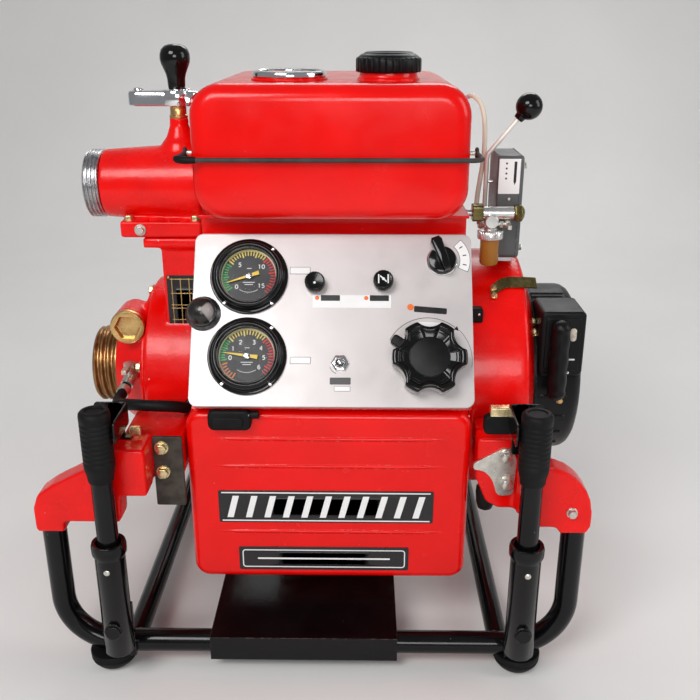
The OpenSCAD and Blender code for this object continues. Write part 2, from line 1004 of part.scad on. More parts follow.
module front_cover() {
    color(red) {
        difference() {
            cover_blank(0, cover_front, cover_back);
            cover_blank(2.5, cover_front + 2.5, cover_back + 1);
        }
        for (z = [266, 233, 151])
            x_cylinder(cover_left + 26, cover_right - 26, cover_front + 0.6, z, 1.8);
    }
}

module battery() {
    color("dimgray") {
        box([-66, cover_front + 8, cover_bottom + 2.8], [72, -150, 186]);
        for (x = [-52, 58])
            z_cylinder(186, 196, x, -180, 6);
    }
}

module recoil_housing() {
    face = 312;
    color(black)
        difference() {
            union() {
                x_cylinder(252.3, face - 14, axis_y, axis_z, starter_r);
                x_cone(face - 14, face, axis_y, axis_z, starter_r, starter_r - 16);
            }
            difference() {
                x_cylinder(252, face - 3, axis_y, axis_z, starter_r - 19);
                x_cylinder(262, face, axis_y, axis_z, 8);
            }
            y_cylinder(axis_y - starter_r - 5, axis_y - 60, rope_x, rope_z, 6);
        }
}

module recoil_pulley() {
    color("whitesmoke")
        difference() {
            x_cylinder(rope_x - 6, rope_x + 6, axis_y, axis_z, rope_pulley_r + 6);
            translate([rope_x, axis_y, axis_z])
                rotate([0, 90, 0])
                    rotate_extrude()
                        translate([rope_pulley_r + 5, 0])
                            circle(4);
            x_cylinder(rope_x - 7, rope_x + 7, axis_y, axis_z, 8 + fit);
            for (a = [0 : 60 : 300])
                x_cylinder(rope_x - 7, rope_x + 7, axis_y + 30 * cos(a), axis_z + 30 * sin(a), 9);
        }
}

module recoil_handle() {
    grip_y = -140;
    color(black) {
        y_cylinder(grip_y, -104, rope_x, rope_z, 5.5);
        z_cylinder(288, 364, rope_x, grip_y, 11);
        for (z = [288, 364])
            translate([rope_x, grip_y, z])
                sphere(11);
    }
}

// ---------- priming pump ----------

module vacuum_pump() {
    color(steel) {
        x_cylinder(207, 229, -50, 452, 27);
        box([208, -66, 423.2], [228, -34, 440]);
        x_cylinder(186, 208, primer_y, primer_z, 5);
    }
}

module belt_guard() {
    color("dimgray")
        difference() {
            box([203.5, -80, 430], [233, -14, 547.5]);
            box([205.5, -78, 429], [231, -16, 545.5]);
            x_cylinder(203, 206, primer_y, primer_z, 6);
        }
}

lever_bend = [194, primer_y, 545];
lever_tip = [238, primer_y, 598.5];
lever_r = 2.8;

module vacuum_lever() {
    color(steel)
        difference() {
            union() {
                x_cylinder(187.5, 200.5, primer_y, primer_z, 10);
                z_cylinder(primer_z, lever_bend[2], lever_bend[0], primer_y, lever_r);
                translate(lever_bend)
                    sphere(lever_r);
                rod(lever_bend, lever_tip, lever_r);
                x_cylinder(lever_bend[0], 202.6, primer_y, 515, 1.8);
            }
            x_cylinder(186, 202, primer_y, primer_z, 5 + fit);
        }
    color(black)
        translate(lever_tip)
            sphere(15);
}

front_frame_tube();
rear_frame_tube();
floor_rails();
base_tray();
rubber_feet();
mounting_arms();
bolted_plates();
crankcase();
cylinder_block();
spark_plugs();
carburettor();
muffler();
starter_motor();
shaft_bearings();
pump_casing();
suction_cover();
suction_fitting();
priming_plug();
drain_cock();
discharge_body();
discharge_outlet();
fuel_tank();
fuel_level_gauge();
control_panel();
panel_housing();
gauge_cases();
panel_lamp();
front_cover();
battery();
recoil_housing();
vacuum_pump();
belt_guard();
fuel_cock();
hoses();
sleeve_front_left();
sleeve_front_right();
sleeve_rear_left();
sleeve_rear_right();
grip_front_left();
grip_front_right();
grip_rear_left();
grip_rear_right();
crankshaft();
impeller();
valve_plug();
discharge_lever();
fuel_cap();
tank_strap();
pressure_needle();
vacuum_needle();
throttle_dial();
switch_knob();
choke_knob();
tickler_knob();
light_toggle();
recoil_pulley();
recoil_handle();
vacuum_lever();
drain_lever();
fuel_cock_lever();
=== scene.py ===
"""The looks of a portable fire pump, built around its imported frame.

Lengths are millimetres. The camera, the lights and the points of the castings that are moved are in metres.
"""

import json
import math
from math import cos, pi, radians, sin, tau

import bmesh
import bpy
from mathutils import Matrix, Vector

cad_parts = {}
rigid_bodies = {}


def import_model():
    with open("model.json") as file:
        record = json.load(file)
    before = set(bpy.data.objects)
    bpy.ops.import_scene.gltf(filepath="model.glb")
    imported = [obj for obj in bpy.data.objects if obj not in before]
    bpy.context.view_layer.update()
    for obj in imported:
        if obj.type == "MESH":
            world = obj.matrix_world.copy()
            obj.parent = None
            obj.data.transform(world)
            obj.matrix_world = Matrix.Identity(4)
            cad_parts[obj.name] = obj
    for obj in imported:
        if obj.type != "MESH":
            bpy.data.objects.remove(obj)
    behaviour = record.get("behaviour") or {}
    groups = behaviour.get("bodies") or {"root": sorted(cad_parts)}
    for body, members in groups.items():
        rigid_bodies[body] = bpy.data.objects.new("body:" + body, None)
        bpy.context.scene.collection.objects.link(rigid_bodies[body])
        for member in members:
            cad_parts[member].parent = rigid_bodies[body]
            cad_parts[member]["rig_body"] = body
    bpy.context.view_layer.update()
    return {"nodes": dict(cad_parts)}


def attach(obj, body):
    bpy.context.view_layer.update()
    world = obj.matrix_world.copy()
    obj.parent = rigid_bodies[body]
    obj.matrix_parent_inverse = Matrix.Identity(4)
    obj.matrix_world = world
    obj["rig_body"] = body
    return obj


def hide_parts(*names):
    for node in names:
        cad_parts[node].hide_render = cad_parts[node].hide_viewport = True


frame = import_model()

MM = 0.001
HERE = Matrix.Identity(4)

# ---------- materials ----------


def finish(
    name,
    color,
    rough=0.4,
    metal=0.0,
    coat=0.0,
    vary=0.05,
    vary_size=30.0,
    rough_vary=0.06,
    bump=0.1,
    bump_size=1.0,
    edge=0.5,
    wear=0.0,
    wear_color=(0.3, 0.28, 0.27),
    specular=0.5,
):
    """A procedural finish: mottled colour, uneven gloss, fine relief, soft edges and worn corners.

    The sizes are millimetres: vary_size of the mottling, bump_size of the grain, edge of the rounding.
    """
    material = bpy.data.materials.new(name)
    material.use_nodes = True
    nodes, links = material.node_tree.nodes, material.node_tree.links
    surface = nodes["Principled BSDF"]
    surface.inputs["Metallic"].default_value = metal
    surface.inputs["Coat Weight"].default_value = coat
    surface.inputs["Coat Roughness"].default_value = 0.06
    surface.inputs["Specular IOR Level"].default_value = specular
    place = nodes.new("ShaderNodeTexCoord")

    def ranged(value, *limits):
        ramp = nodes.new("ShaderNodeMapRange")
        for key, limit in zip(("From Min", "From Max", "To Min", "To Max"), limits):
            ramp.inputs[key].default_value = limit
        links.new(value, ramp.inputs["Value"])
        return ramp.outputs["Result"]

    def cloud(size, detail, *limits):
        texture = nodes.new("ShaderNodeTexNoise")
        texture.inputs["Scale"].default_value = 1000 / size
        texture.inputs["Detail"].default_value = detail
        links.new(place.outputs["Object"], texture.inputs["Vector"])
        return ranged(texture.outputs["Fac"], *limits)

    def joined(operation, kind, first, second):
        node = nodes.new("ShaderNode" + kind)
        node.operation = operation
        links.new(first, node.inputs[0])
        links.new(second, node.inputs[1])
        return node

    def mixed(factor, first, second):
        mix = nodes.new("ShaderNodeMix")
        mix.data_type = "RGBA"
        links.new(factor, mix.inputs["Factor"])
        for socket, value in ((mix.inputs["A"], first), (mix.inputs["B"], second)):
            if hasattr(value, "is_output"):
                links.new(value, socket)
            else:
                socket.default_value = (*value, 1)
        return mix.outputs["Result"]

    dark = [c * (1 - vary) for c in color]
    light = [min(1, c * (1 + vary)) for c in color]
    paint = mixed(cloud(vary_size, 4, 0.35, 0.65, 0, 1), dark, light)
    gloss = cloud(vary_size * 0.6, 3, 0.3, 0.7, max(0.02, rough - rough_vary), rough + rough_vary)
    bevel = nodes.new("ShaderNodeBevel")
    bevel.samples = 4
    bevel.inputs["Radius"].default_value = edge * MM
    if wear:
        geometry = nodes.new("ShaderNodeNewGeometry")
        rounding = joined("DOT_PRODUCT", "VectorMath", bevel.outputs["Normal"], geometry.outputs["Normal"])
        on_edge = ranged(rounding.outputs["Value"], 0.97, 0.80, 0, 1)
        chips = cloud(5, 5, 0.58 - 0.1 * wear, 0.62 - 0.1 * wear, 0, 1)
        worn_edges = joined("MULTIPLY", "Math", on_edge, chips).outputs[0]
        spots = cloud(9, 6, 0.755 - 0.02 * wear, 0.765 - 0.02 * wear, 0, 1)
        paint = mixed(joined("MAXIMUM", "Math", worn_edges, spots).outputs[0], paint, wear_color)
    links.new(paint, surface.inputs["Base Color"])
    links.new(gloss, surface.inputs["Roughness"])
    relief = nodes.new("ShaderNodeBump")
    relief.inputs["Strength"].default_value = bump
    relief.inputs["Distance"].default_value = 0.3 * MM
    links.new(cloud(bump_size, 2, 0.3, 0.7, 0, 1), relief.inputs["Height"])
    links.new(bevel.outputs["Normal"], relief.inputs["Normal"])
    links.new(relief.outputs["Normal"], surface.inputs["Normal"])
    return material


def printed(name, color, rough=0.4, vary=0.05, edge=0.1):
    """A thin even print, as on a dial or a label."""
    return finish(name, color, rough, vary=vary, bump=0.02, edge=edge)


def clear(name, color, alpha, rough=0.05, specular=0.3):
    """A see-through finish for glass and clear tube."""
    material = finish(name, color, rough, vary=0.04, bump=0.01, bump_size=3, edge=0.3, rough_vary=0.02,
        specular=specular)
    material.node_tree.nodes["Principled BSDF"].inputs["Alpha"].default_value = alpha
    return material


RED = (0.80, 0.0025, 0.0012)
red_sheet = finish("red_sheet", RED, 0.22, coat=0.12, vary_size=60, bump=0.05, bump_size=3, edge=1.6,
                   wear=0.15, wear_color=(0.70, 0.22, 0.18), specular=0.28)
red_cast = finish("red_cast", RED, 0.25, coat=0.10, vary=0.08, vary_size=40, bump=0.20, bump_size=2.2,
    edge=1.5, wear=1.0, wear_color=(0.70, 0.42, 0.38), specular=0.28)
black_enamel = finish("black_enamel", (0.003, 0.003, 0.0035), 0.16, coat=0.15, specular=0.22, vary=0.3,
    bump_size=5, edge=1.2, wear=0.6, wear_color=(0.16, 0.13, 0.11))
black_cast = finish("black_cast", (0.004, 0.004, 0.0045), 0.36, specular=0.22, vary=0.3, bump=0.25,
    bump_size=1.2, edge=1.2, wear=0.4, wear_color=(0.20, 0.19, 0.18))
black_gloss = finish("black_gloss", (0.003, 0.003, 0.003), 0.12, specular=0.35, vary=0.2, bump=0.04,
    bump_size=4, edge=0.6)
black_plastic = finish("black_plastic", (0.004, 0.004, 0.0045), 0.34, specular=0.22, vary=0.2, bump=0.25,
    bump_size=0.6, edge=0.7)
rubber = finish("rubber", (0.005, 0.005, 0.005), 0.55, vary=0.35, bump=0.30, edge=0.8, specular=0.18)
zinc = finish("zinc", (0.66, 0.64, 0.58), 0.30, metal=0.9, vary=0.12, vary_size=8, bump=0.15, bump_size=0.8)
yellow_zinc = finish("yellow_zinc", (0.72, 0.58, 0.32), 0.28, metal=0.95, vary=0.18, vary_size=5, bump=0.12)
aged_plate = finish("aged_plate", (0.055, 0.045, 0.036), 0.45, metal=0.5, vary=0.35, vary_size=12, bump=0.3,
                    bump_size=2, edge=0.6, wear=1.0, wear_color=(0.35, 0.32, 0.27))
alloy = finish("alloy", (0.62, 0.62, 0.62), 0.36, metal=0.85, vary=0.10, vary_size=15, bump=0.22,
    bump_size=0.9, edge=0.7)
chrome = finish("chrome", (0.80, 0.80, 0.80), 0.09, metal=1.0, vary=0.04, bump=0.02, bump_size=4, edge=0.6,
                rough_vary=0.03)
machined = finish("machined", (0.52, 0.52, 0.53), 0.28, metal=1.0, vary=0.08, vary_size=10)
bronze = finish("bronze", (0.36, 0.20, 0.085), 0.36, metal=1.0, vary=0.22, vary_size=9, bump=0.14,
    bump_size=1.5, rough_vary=0.1)
brass = finish("brass", (0.72, 0.47, 0.19), 0.30, metal=1.0, vary=0.10, vary_size=8, edge=0.6)
silver_panel = finish("silver_panel", (0.60, 0.555, 0.545), 0.36, metal=0.3, vary=0.03, vary_size=45,
                      bump=0.05, bump_size=0.5, edge=1.8)
heat_black = finish("heat_black", (0.035, 0.033, 0.032), 0.7, vary=0.35, vary_size=18, bump=0.4,
    bump_size=0.8, edge=0.8, wear=1.0, wear_color=(0.20, 0.10, 0.06))
guard_grey = finish("guard_grey", (0.085, 0.088, 0.092), 0.40, vary=0.12, bump=0.12, bump_size=1.5, edge=1.0,
    wear=0.4)
battery_case = finish("battery_case", (0.05, 0.05, 0.055), 0.5, vary=0.15, bump=0.3, bump_size=0.8, edge=1.2)
glaze = finish("glaze", (0.80, 0.79, 0.75), 0.15, coat=0.4, bump=0.03)
nylon = finish("nylon", (0.72, 0.71, 0.66), 0.45, bump=0.12, edge=0.7)
olive = finish("olive", (0.16, 0.13, 0.045), 0.25, metal=0.8, vary=0.3, vary_size=7, bump=0.15)
dial_black = finish("dial_black", (0.010, 0.010, 0.013), 0.35, vary=0.15, bump=0.03, edge=0.2)
dial_white = printed("dial_white", (0.85, 0.85, 0.83), vary=0.03)
dial_green = printed("dial_green", (0.02, 0.45, 0.07))
dial_yellow = printed("dial_yellow", (0.92, 0.72, 0.12))
dial_red = printed("dial_red", (0.80, 0.02, 0.02))
needle_yellow = printed("needle_yellow", (0.90, 0.62, 0.04), 0.3, vary=0.04, edge=0.2)
label_white = printed("label_white", (0.86, 0.85, 0.84), 0.35, vary=0.03, edge=0.2)
label_black = finish("label_black", (0.012, 0.011, 0.012), 0.3, vary=0.1, bump=0.03, edge=0.2)
label_gold = finish("label_gold", (0.62, 0.42, 0.16), 0.3, metal=0.8, vary=0.1, bump=0.05, edge=0.2)
red_trim = finish("red_trim", RED, 0.18, coat=0.1, vary=0.04, bump=0.03, bump_size=4, edge=0.8, specular=0.3)
satin = finish("satin", (0.80, 0.79, 0.76), 0.24, metal=0.9, bump=0.04, bump_size=2)
label_orange = printed("label_orange", (0.85, 0.16, 0.02), 0.35, edge=0.2)
dial_glass = clear("dial_glass", (0.01, 0.01, 0.012), 0.06, specular=0.06)
amber = clear("amber", (0.36, 0.15, 0.02), 0.90, 0.10)
steel_dark = finish("steel_dark", (0.10, 0.10, 0.10), 0.30, metal=0.9, vary=0.25, vary_size=6, bump=0.12)
dial_cream = printed("dial_cream", (0.80, 0.72, 0.50), vary=0.04)
dial_orange = printed("dial_orange", (0.80, 0.22, 0.03))
label_grey = printed("label_grey", (0.07, 0.065, 0.065), 0.35, vary=0.06, edge=0.2)
# painted highlight: a pale patch that stands in for the shine on the starter's pull grip
painted_highlight = finish("painted_highlight", (0.62, 0.55, 0.45), 0.5, vary=0.25, vary_size=4, edge=0.3)
clear_tube = clear("clear_tube", (0.80, 0.74, 0.60), 0.75, 0.15)
lens = clear("lens", (0.42, 0.38, 0.36), 0.85, 0.05)
lamp_black = finish("lamp_black", (0.035, 0.032, 0.03), 0.22, metal=0.5, vary=0.2, vary_size=6)
pale_plate = finish("pale_plate", (0.80, 0.77, 0.69), 0.38, metal=0.25, vary=0.06, bump=0.06, bump_size=2)

# ---------- shapes: each returns its points and faces ----------


def polar(r, angle, *height):
    """A point at a radius and an angle in radians."""
    return (r * cos(angle), r * sin(angle), *height)


def skin(rings, ends=(True, True), closed=False):
    """Faces over rings of points. An end is closed by a fan to its middle, as an n-gon would fold."""
    points = [p for ring in rings for p in ring]
    n = len(rings[0])
    faces = []
    pairs = list(range(len(rings) - 1)) + ([-1] if closed else [])
    for i in pairs:
        a, b = (i % len(rings)) * n, ((i + 1) % len(rings)) * n
        faces += [(a + k, a + (k + 1) % n, b + (k + 1) % n, b + k) for k in range(n)]
    if not closed:
        for first, wanted in ((0, ends[0]), ((len(rings) - 1) * n, ends[1])):
            if wanted:
                ring = points[first : first + n]
                middle = len(points)
                points.append(tuple(sum(p[i] for p in ring) / n for i in range(3)))
                faces += [(first + k, first + (k + 1) % n, middle) for k in range(n)]
    return points, faces


def lathe(profile, n=64, closed=False, shape=None):
    """Turns (radius, height) points about Z. shape(angle) scales the radius for lobes or flats."""
    turns = [(shape(tau * k / n) if shape else 1, tau * k / n) for k in range(n)]
    return skin([[polar(r * scale, angle, h) for scale, angle in turns] for r, h in profile], closed=closed)


def hollow(profile, n, shape=None):
    """A turned shape whose profile closes on itself, such as a ring."""
    return lathe(profile, n, True, shape)


def hexagon(angle):
    """Radius of a hexagon 1 across its flats' middles, at an angle."""
    return 1 / cos((angle % radians(60)) - radians(30))


def round_corners(w, h, r, steps=6):
    """A rectangle with round corners, about the middle."""
    points = []
    for cx, cy, start in ((1, 1, 0), (-1, 1, 90), (-1, -1, 180), (1, -1, 270)):
        for i in range(steps + 1):
            a = radians(start + 90 * i / steps)
            points.append((cx * (w / 2 - r) + r * cos(a), cy * (h / 2 - r) + r * sin(a)))
    return points


def slab(w, h, r, low, high, edges=(0, 0), steps=6):
    """A plate with round corners from height low to high; edges round its two rims."""
    rings = []

    def rim(edge, z, way):
        count = steps if edge else 0
        for i in range(count + 1):
            a = pi / 2 * i / count if count else pi / 2
            inset = edge * (1 - sin(a))
            yield inset, z + way * edge * (1 - cos(a))

    stack = list(rim(edges[0], low, 1)) + list(rim(edges[1], high, -1))[::-1]
    for inset, z in stack:
        outline = round_corners(w - 2 * inset, h - 2 * inset, max(r - inset, 0.05), 8)
        rings.append([(x, y, z) for x, y in outline])
    return skin(rings)


def prism(outline, low, high):
    """An outline drawn up from height low to high."""
    return skin([[(x, y, z) for x, y in outline] for z in (low, high)])


def smooth_path(points, steps=6):
    """A Catmull-Rom curve through the points."""
    points = [Vector(p) for p in points]
    padded = [2 * points[0] - points[1]] + points + [2 * points[-1] - points[-2]]
    out = []
    for a, b, c, d in zip(padded, padded[1:], padded[2:], padded[3:]):
        for i in range(steps):
            t = i / steps
            curve = 2 * b + (c - a) * t + (2 * a - 5 * b + 4 * c - d) * t**2
            out.append(0.5 * (curve + (3 * b - a - 3 * c + d) * t**3))
    return out + [points[-1]]


def tube(path, radius, n=16):
    """A round tube along a path. radius is a number or a function of the share of the length."""
    path = [Vector(p) for p in path]
    side = None
    rings = []
    for i, p in enumerate(path):
        along = (path[min(i + 1, len(path) - 1)] - path[max(i - 1, 0)]).normalized()
        if side is None:
            side = along.orthogonal().normalized()
        side = (side - side.dot(along) * along).normalized()
        up = along.cross(side)
        r = radius(i / (len(path) - 1)) if callable(radius) else radius
        rings.append([tuple(p + r * (cos(tau * k / n) * side + sin(tau * k / n) * up)) for k in range(n)])
    return skin(rings)


def thread(r, depth, pitch, length, bore, n=96, per_turn=12):
    """A helical thread with a bore, from height 0 to length."""
    rings = []
    count = int(length / pitch * per_turn)
    for i in range(count + 1):
        h = length * i / count
        ring = []
        for k in range(n):
            turn = (h / pitch - k / n) % 1
            wave = abs(2 * turn - 1)
            fade = min(1, h / (0.35 * pitch), (length - h) / (0.35 * pitch))
            cut = depth * (1 - min(1, max(0, (wave - 0.22) / 0.5)) * fade)
            ring.append(polar(r - cut, tau * k / n, h))
        rings.append(ring)
    for h in (length, 0):
        rings.append([polar(bore, tau * k / n, h) for k in range(n)])
    return skin(rings, closed=True)


# ---------- places ----------


def at(x, y, z):
    return Matrix.Translation((x, y, z))


def facing(point, direction, turn=0):
    """Local Z along the direction, local Y as near to up as it can be."""
    z = Vector(direction).normalized()
    up = Vector((0, 0, 1)) if abs(z.z) < 0.95 else Vector((0, 1, 0))
    y = (up - up.dot(z) * z).normalized()
    x = y.cross(z)
    place = Matrix((x, y, z)).transposed().to_4x4()
    place.translation = Vector(point)
    return place @ Matrix.Rotation(radians(turn), 4, "Z")


def front(x, y, z):
    return facing((x, y, z), (0, -1, 0))


def to_left(x, y, z):
    return facing((x, y, z), (-1, 0, 0))


def to_right(x, y, z):
    return facing((x, y, z), (1, 0, 0))


class Piece:
    """Shapes gathered into one object that rides on a body."""

    def __init__(self, name, body="frame"):
        self.name, self.body, self.materials = name, body, []
        self.mesh = bmesh.new()

    def add(self, shape, material, place=HERE):
        if material not in self.materials:
            self.materials.append(material)
        points, faces = shape
        made = [self.mesh.verts.new((place @ Vector(p)) * MM) for p in points]
        for face in faces:
            new = self.mesh.faces.new([made[i] for i in face])
            new.material_index = self.materials.index(material)
            new.smooth = True
        return self

    def done(self, slot, *nodes, sharp=40):
        bmesh.ops.remove_doubles(self.mesh, verts=self.mesh.verts, dist=1e-7)
        bmesh.ops.recalc_face_normals(self.mesh, faces=self.mesh.faces)
        data = bpy.data.meshes.new(self.name)
        self.mesh.to_mesh(data)
        self.mesh.free()
        for material in self.materials:
            data.materials.append(material)
        data.set_sharp_from_angle(angle=radians(sharp))
        made = bpy.data.objects.new(self.name, data)
        bpy.context.scene.collection.objects.link(made)
        return settle(made, self.body, nodes)


def settle(made, body, nodes=()):
    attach(made, body)
    if nodes:
        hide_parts(*nodes)
    return made


def casting(name, node, material, voxel=2.2, rounds=6):
    """A casting: the CAD node's shape with its corners and joins rounded off."""
    source = frame["nodes"][node]
    made = bpy.data.objects.new(name, source.data.copy())
    bpy.context.scene.collection.objects.link(made)
    remesh = made.modifiers.new("remesh", "REMESH")
    remesh.mode, remesh.voxel_size = "VOXEL", voxel * MM
    soften = made.modifiers.new("soften", "SMOOTH")
    soften.factor, soften.iterations = 0.5, rounds
    data = bpy.data.meshes.new_from_object(made.evaluated_get(bpy.context.evaluated_depsgraph_get()))
    made.modifiers.clear()
    made.data = data
    data.name = name
    data.materials.clear()
    data.materials.append(material)
    data.polygons.foreach_set("use_smooth", [True] * len(data.polygons))
    return settle(made, source["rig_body"], [node])


def bolt(size=8, head=5.5, washer=1.5):
    """A hex bolt's head on its washer, standing on height 0; size is across its flats' middles over 2."""
    flat = size * 0.82
    disc = lathe([(size * 1.15, 0), (size * 1.15, washer * 0.7), (size * 1.08, washer)], 32)
    top = washer + head
    hexes = lathe([(flat, washer), (flat, top - 1), (flat * 0.96, top - 0.4), (flat * 0.86, top)], 48,
        shape=hexagon)
    return join(disc, hexes)


def join(*shapes):
    points, faces = [], []
    for more, sides in shapes:
        base = len(points)
        points += more
        faces += [tuple(i + base for i in side) for side in sides]
    return points, faces


def screw(r=3, height=1.6):
    """A cross-head screw with a domed head."""
    dome = [(r, 0), (r, height * 0.35), (r * 0.85, height * 0.75), (r * 0.5, height),
        (r * 0.12, height * 0.9)]
    return lathe(dome, 24)


# ---------- camera, light and floor ----------

SENSOR = 36.0
FOCAL_SHARE = 870 / 700
camera = bpy.data.objects.new("camera", bpy.data.cameras.new("camera"))
camera.data.sensor_width = SENSOR
camera.data.lens = SENSOR * FOCAL_SHARE
camera.location = (0.0515, -1.065, 0.684)
camera.rotation_euler = (radians(90 - 20.5), 0, radians(0.8))
bpy.context.scene.collection.objects.link(camera)
bpy.context.scene.camera = camera
bpy.context.scene.view_settings.view_transform = "Standard"

floor_material = finish("floor", (0.78, 0.77, 0.75), 0.7, vary=0.02, vary_size=400, bump=0.02, bump_size=8,
    edge=0.8)
FLOOR_FRONT, FLOOR_BACK, FLOOR_SIDE, WALL_TOP, WALL_CURVE = -6000, 1500, 7000, 4000, 900
sweep_outline = [(FLOOR_FRONT, 0), (FLOOR_BACK, 0)]
for angle in range(5, 91, 5):
    a = radians(angle)
    sweep_outline.append((FLOOR_BACK + WALL_CURVE * sin(a), WALL_CURVE * (1 - cos(a))))
sweep_outline.append((FLOOR_BACK + WALL_CURVE, WALL_TOP))
sweep_points = [(x, y, z) for y, z in sweep_outline for x in (-FLOOR_SIDE, FLOOR_SIDE)]
sweep_faces = [(i, i + 1, i + 3, i + 2) for i in range(0, len(sweep_points) - 2, 2)]
floor_data = bpy.data.meshes.new("floor")
floor_data.from_pydata([Vector(p) * MM for p in sweep_points], [], sweep_faces)
floor_data.materials.append(floor_material)
floor_data.polygons.foreach_set("use_smooth", [True] * len(floor_data.polygons))
floor = bpy.data.objects.new("floor", floor_data)
bpy.context.scene.collection.objects.link(floor)

world = bpy.data.worlds.new("studio")
world.use_nodes = True
world.node_tree.nodes["Background"].inputs["Color"].default_value = (0.92, 0.94, 1, 1)
world.node_tree.nodes["Background"].inputs["Strength"].default_value = 0.26
bpy.context.scene.world = world


def softbox(name, place, target, size, power):
    """A soft rectangular light."""
    data = bpy.data.lights.new(name, "AREA")
    data.shape, data.size, data.size_y = "RECTANGLE", size[0], size[1]
    data.energy = power
    lamp = bpy.data.objects.new(name, data)
    lamp.location = place
    lamp.rotation_euler = (Vector(target) - Vector(place)).to_track_quat("-Z", "Y").to_euler()
    bpy.context.scene.collection.objects.link(lamp)


middle = (0, 0, 0.35)
softbox("key", (-0.9, -1.9, 2.0), middle, (1.2, 0.9), 36)
softbox("front", (0.25, -2.6, 1.1), middle, (1.0, 0.6), 16)
softbox("right", (2.2, -0.6, 1.3), middle, (0.9, 1.5), 14)
softbox("back", (0.3, 2.2, 2.2), middle, (2.0, 1.2), 34)

# ---------- finishes of the CAD nodes that stay ----------

shown_as = {
    black_enamel: ["front_frame_tube", "rear_frame_tube", "floor_rails", "base_tray"],
    zinc: ["drain_cock", "fuel_cock_lever", "drain_lever"],
    red_sheet: ["panel_housing"],
    machined: ["shaft_bearings", "crankshaft"],
    bronze: ["impeller"],
    brass: ["valve_plug"],
    silver_panel: ["control_panel"],
    nylon: ["recoil_pulley"],
}
for material, names in shown_as.items():
    for name in names:
        slots = frame["nodes"][name].data.materials
        slots.clear()
        slots.append(material)

# ---------- sizes shared with the CAD model ----------

AXIS_Y, AXIS_Z = -20, 275
VALVE_X, VALVE_Y, OUTLET_Z = -155, -60, 513
PANEL_TILT = radians(32.5)
HANDLES = {
    "front_left": (-211, -290),
    "front_right": (224, -290),
    "rear_left": (-211, 290),
    "rear_right": (224, 290),
}
panel_place = at(20, -184, 390) @ Matrix.Rotation(pi / 2 - PANEL_TILT, 4, "X")


def on_panel(u, v, h=0, turn=0):
    """A place on the panel's face: u to the right, v up the slope, h out of it."""
    return panel_place @ at(u, v, h) @ Matrix.Rotation(radians(turn), 4, "Z")


# ---------- castings ----------

arms = casting("arms", "mounting_arms", red_cast, 2.4, 5)
# the left arms' outer ends are drawn in a little
ARM_END, ARM_SCALE = -0.272, 0.72
for point in arms.data.vertices:
    if point.co.x < ARM_END:
        point.co.x = ARM_END + ARM_SCALE * (point.co.x - ARM_END)
casting("engine_case", "crankcase", red_cast, 3.0, 5)
casting("pump_case", "pump_casing", red_cast, 2.4, 6)
casting("cylinder_casting", "cylinder_block", red_cast, 2.8, 5)
casting("suction_case", "suction_cover", red_cast, 2.0, 5)
valve_case = casting("valve_case", "discharge_body", red_cast, 2.0, 7)
stem = Vector((VALVE_X, VALVE_Y)) * MM
# the neck under the gland gets slimmer towards its top
STEM_R, NECK_LOW, NECK_RISE, NECK_CUT = 0.0075, 0.560, 0.018, 0.68
for point in valve_case.data.vertices:
    out = point.co.xy - stem
    rise = min(1, max(0, (point.co.z - NECK_LOW) / NECK_RISE))
    if rise and out.length > STEM_R:
        slim = STEM_R + (out.length - STEM_R) * (1 - NECK_CUT * rise)
        point.co.xy = stem + out * (slim / out.length)

# ---------- feet, handles ----------

feet = Piece("feet")
foot = [(1, 0), (14, 0), (17, 1), (21, 4.5), (24.5, 9), (25.6, 12), (24.4, 13), (24.4, 14), (25.8, 15),
    (26, 19.5)]
foot += [(25, 21), (6, 21)]
for x in (-229, 229):
    for y in (-256, 256):
        feet.add(lathe(foot, 64), rubber, at(x, y, 0))
feet.done("foot_rubber", "rubber_feet")

for where, (x, y) in HANDLES.items():
    sleeve = Piece("handle_tube_" + where, "handle_" + where)
    outer = [(15, 44), (15.9, 45.2), (15.9, 163), (16.4, 165), (18, 168.5), (18.2, 172), (18.2, 177.5),
        (17.2, 180.5)]
    outer += [(15.4, 181), (13.4, 180.2), (12.6, 177), (12.2, 172), (11.6, 150), (11.6, 100)]
    sleeve.add(lathe(outer, 64), black_enamel, at(x, y, 0))
    side = -1 if y < 0 else 1
    sleeve.add(hollow([(9.5, 0), (9.5, 0.8), (8.6, 1.4), (5.2, 1.4), (5.2, 0)], 40), black_enamel,
               facing((x, y + side * 15.6, 78), (0, side, 0)))
    sleeve.add(lathe([(3.2, 0), (3.2, 0.8), (2, 1.6)], 24), zinc,
        facing((x, y + side * 15.6, 152), (0, side, 0)))
    sleeve.done("black_tube", "sleeve_" + where)

    bar = Piece("handle_bar_" + where, "grip_" + where)
    bar.add(lathe([(10, 98), (11.1, 99.2), (11.1, 262)], 48), black_enamel, at(x, y, 0))
    grip = [(11.3, 252), (12.6, 252.4), (13.2, 254), (13.4, 258), (14.2, 262), (15.4, 266.5), (15.7, 270)]
    for i in range(9):
        z = 276 + 5.2 * i
        grip += [(15.7, z - 1.2), (15.2, z - 0.5), (15.2, z + 0.5), (15.7, z + 1.2)]
    grip += [(15.7, 325), (15.2, 327.6), (13.6, 329.4), (11.5, 330), (9.6, 329.6), (9.2, 328.4), (3, 328.2)]
    bar.add(lathe(grip, 64), rubber, at(x, y, 0))
    bar.done("black_rubber", "grip_" + where)

# ---------- suction side ----------

suction = Piece("suction_thread")
suction.add(thread(48, 3.2, 8.6, 29, 37.5, 128), bronze, to_left(-254, AXIS_Y, AXIS_Z))
collar = [(37.5, 0), (51.5, 0), (53, 1), (53, 2.8), (51.8, 3.8), (37.5, 3.8)]
suction.add(hollow(collar, 96), bronze, to_left(-250.2, AXIS_Y, AXIS_Z))
suction.done("bronze", "suction_fitting")

plug = Piece("priming_plug_head")


def plug_ring(r, h, hexed=False):
    """A ring of the priming plug, round or hexagonal."""
    return [polar(r * hexagon(tau * k / 72) if hexed else r, tau * k / 72, h) for k in range(72)]


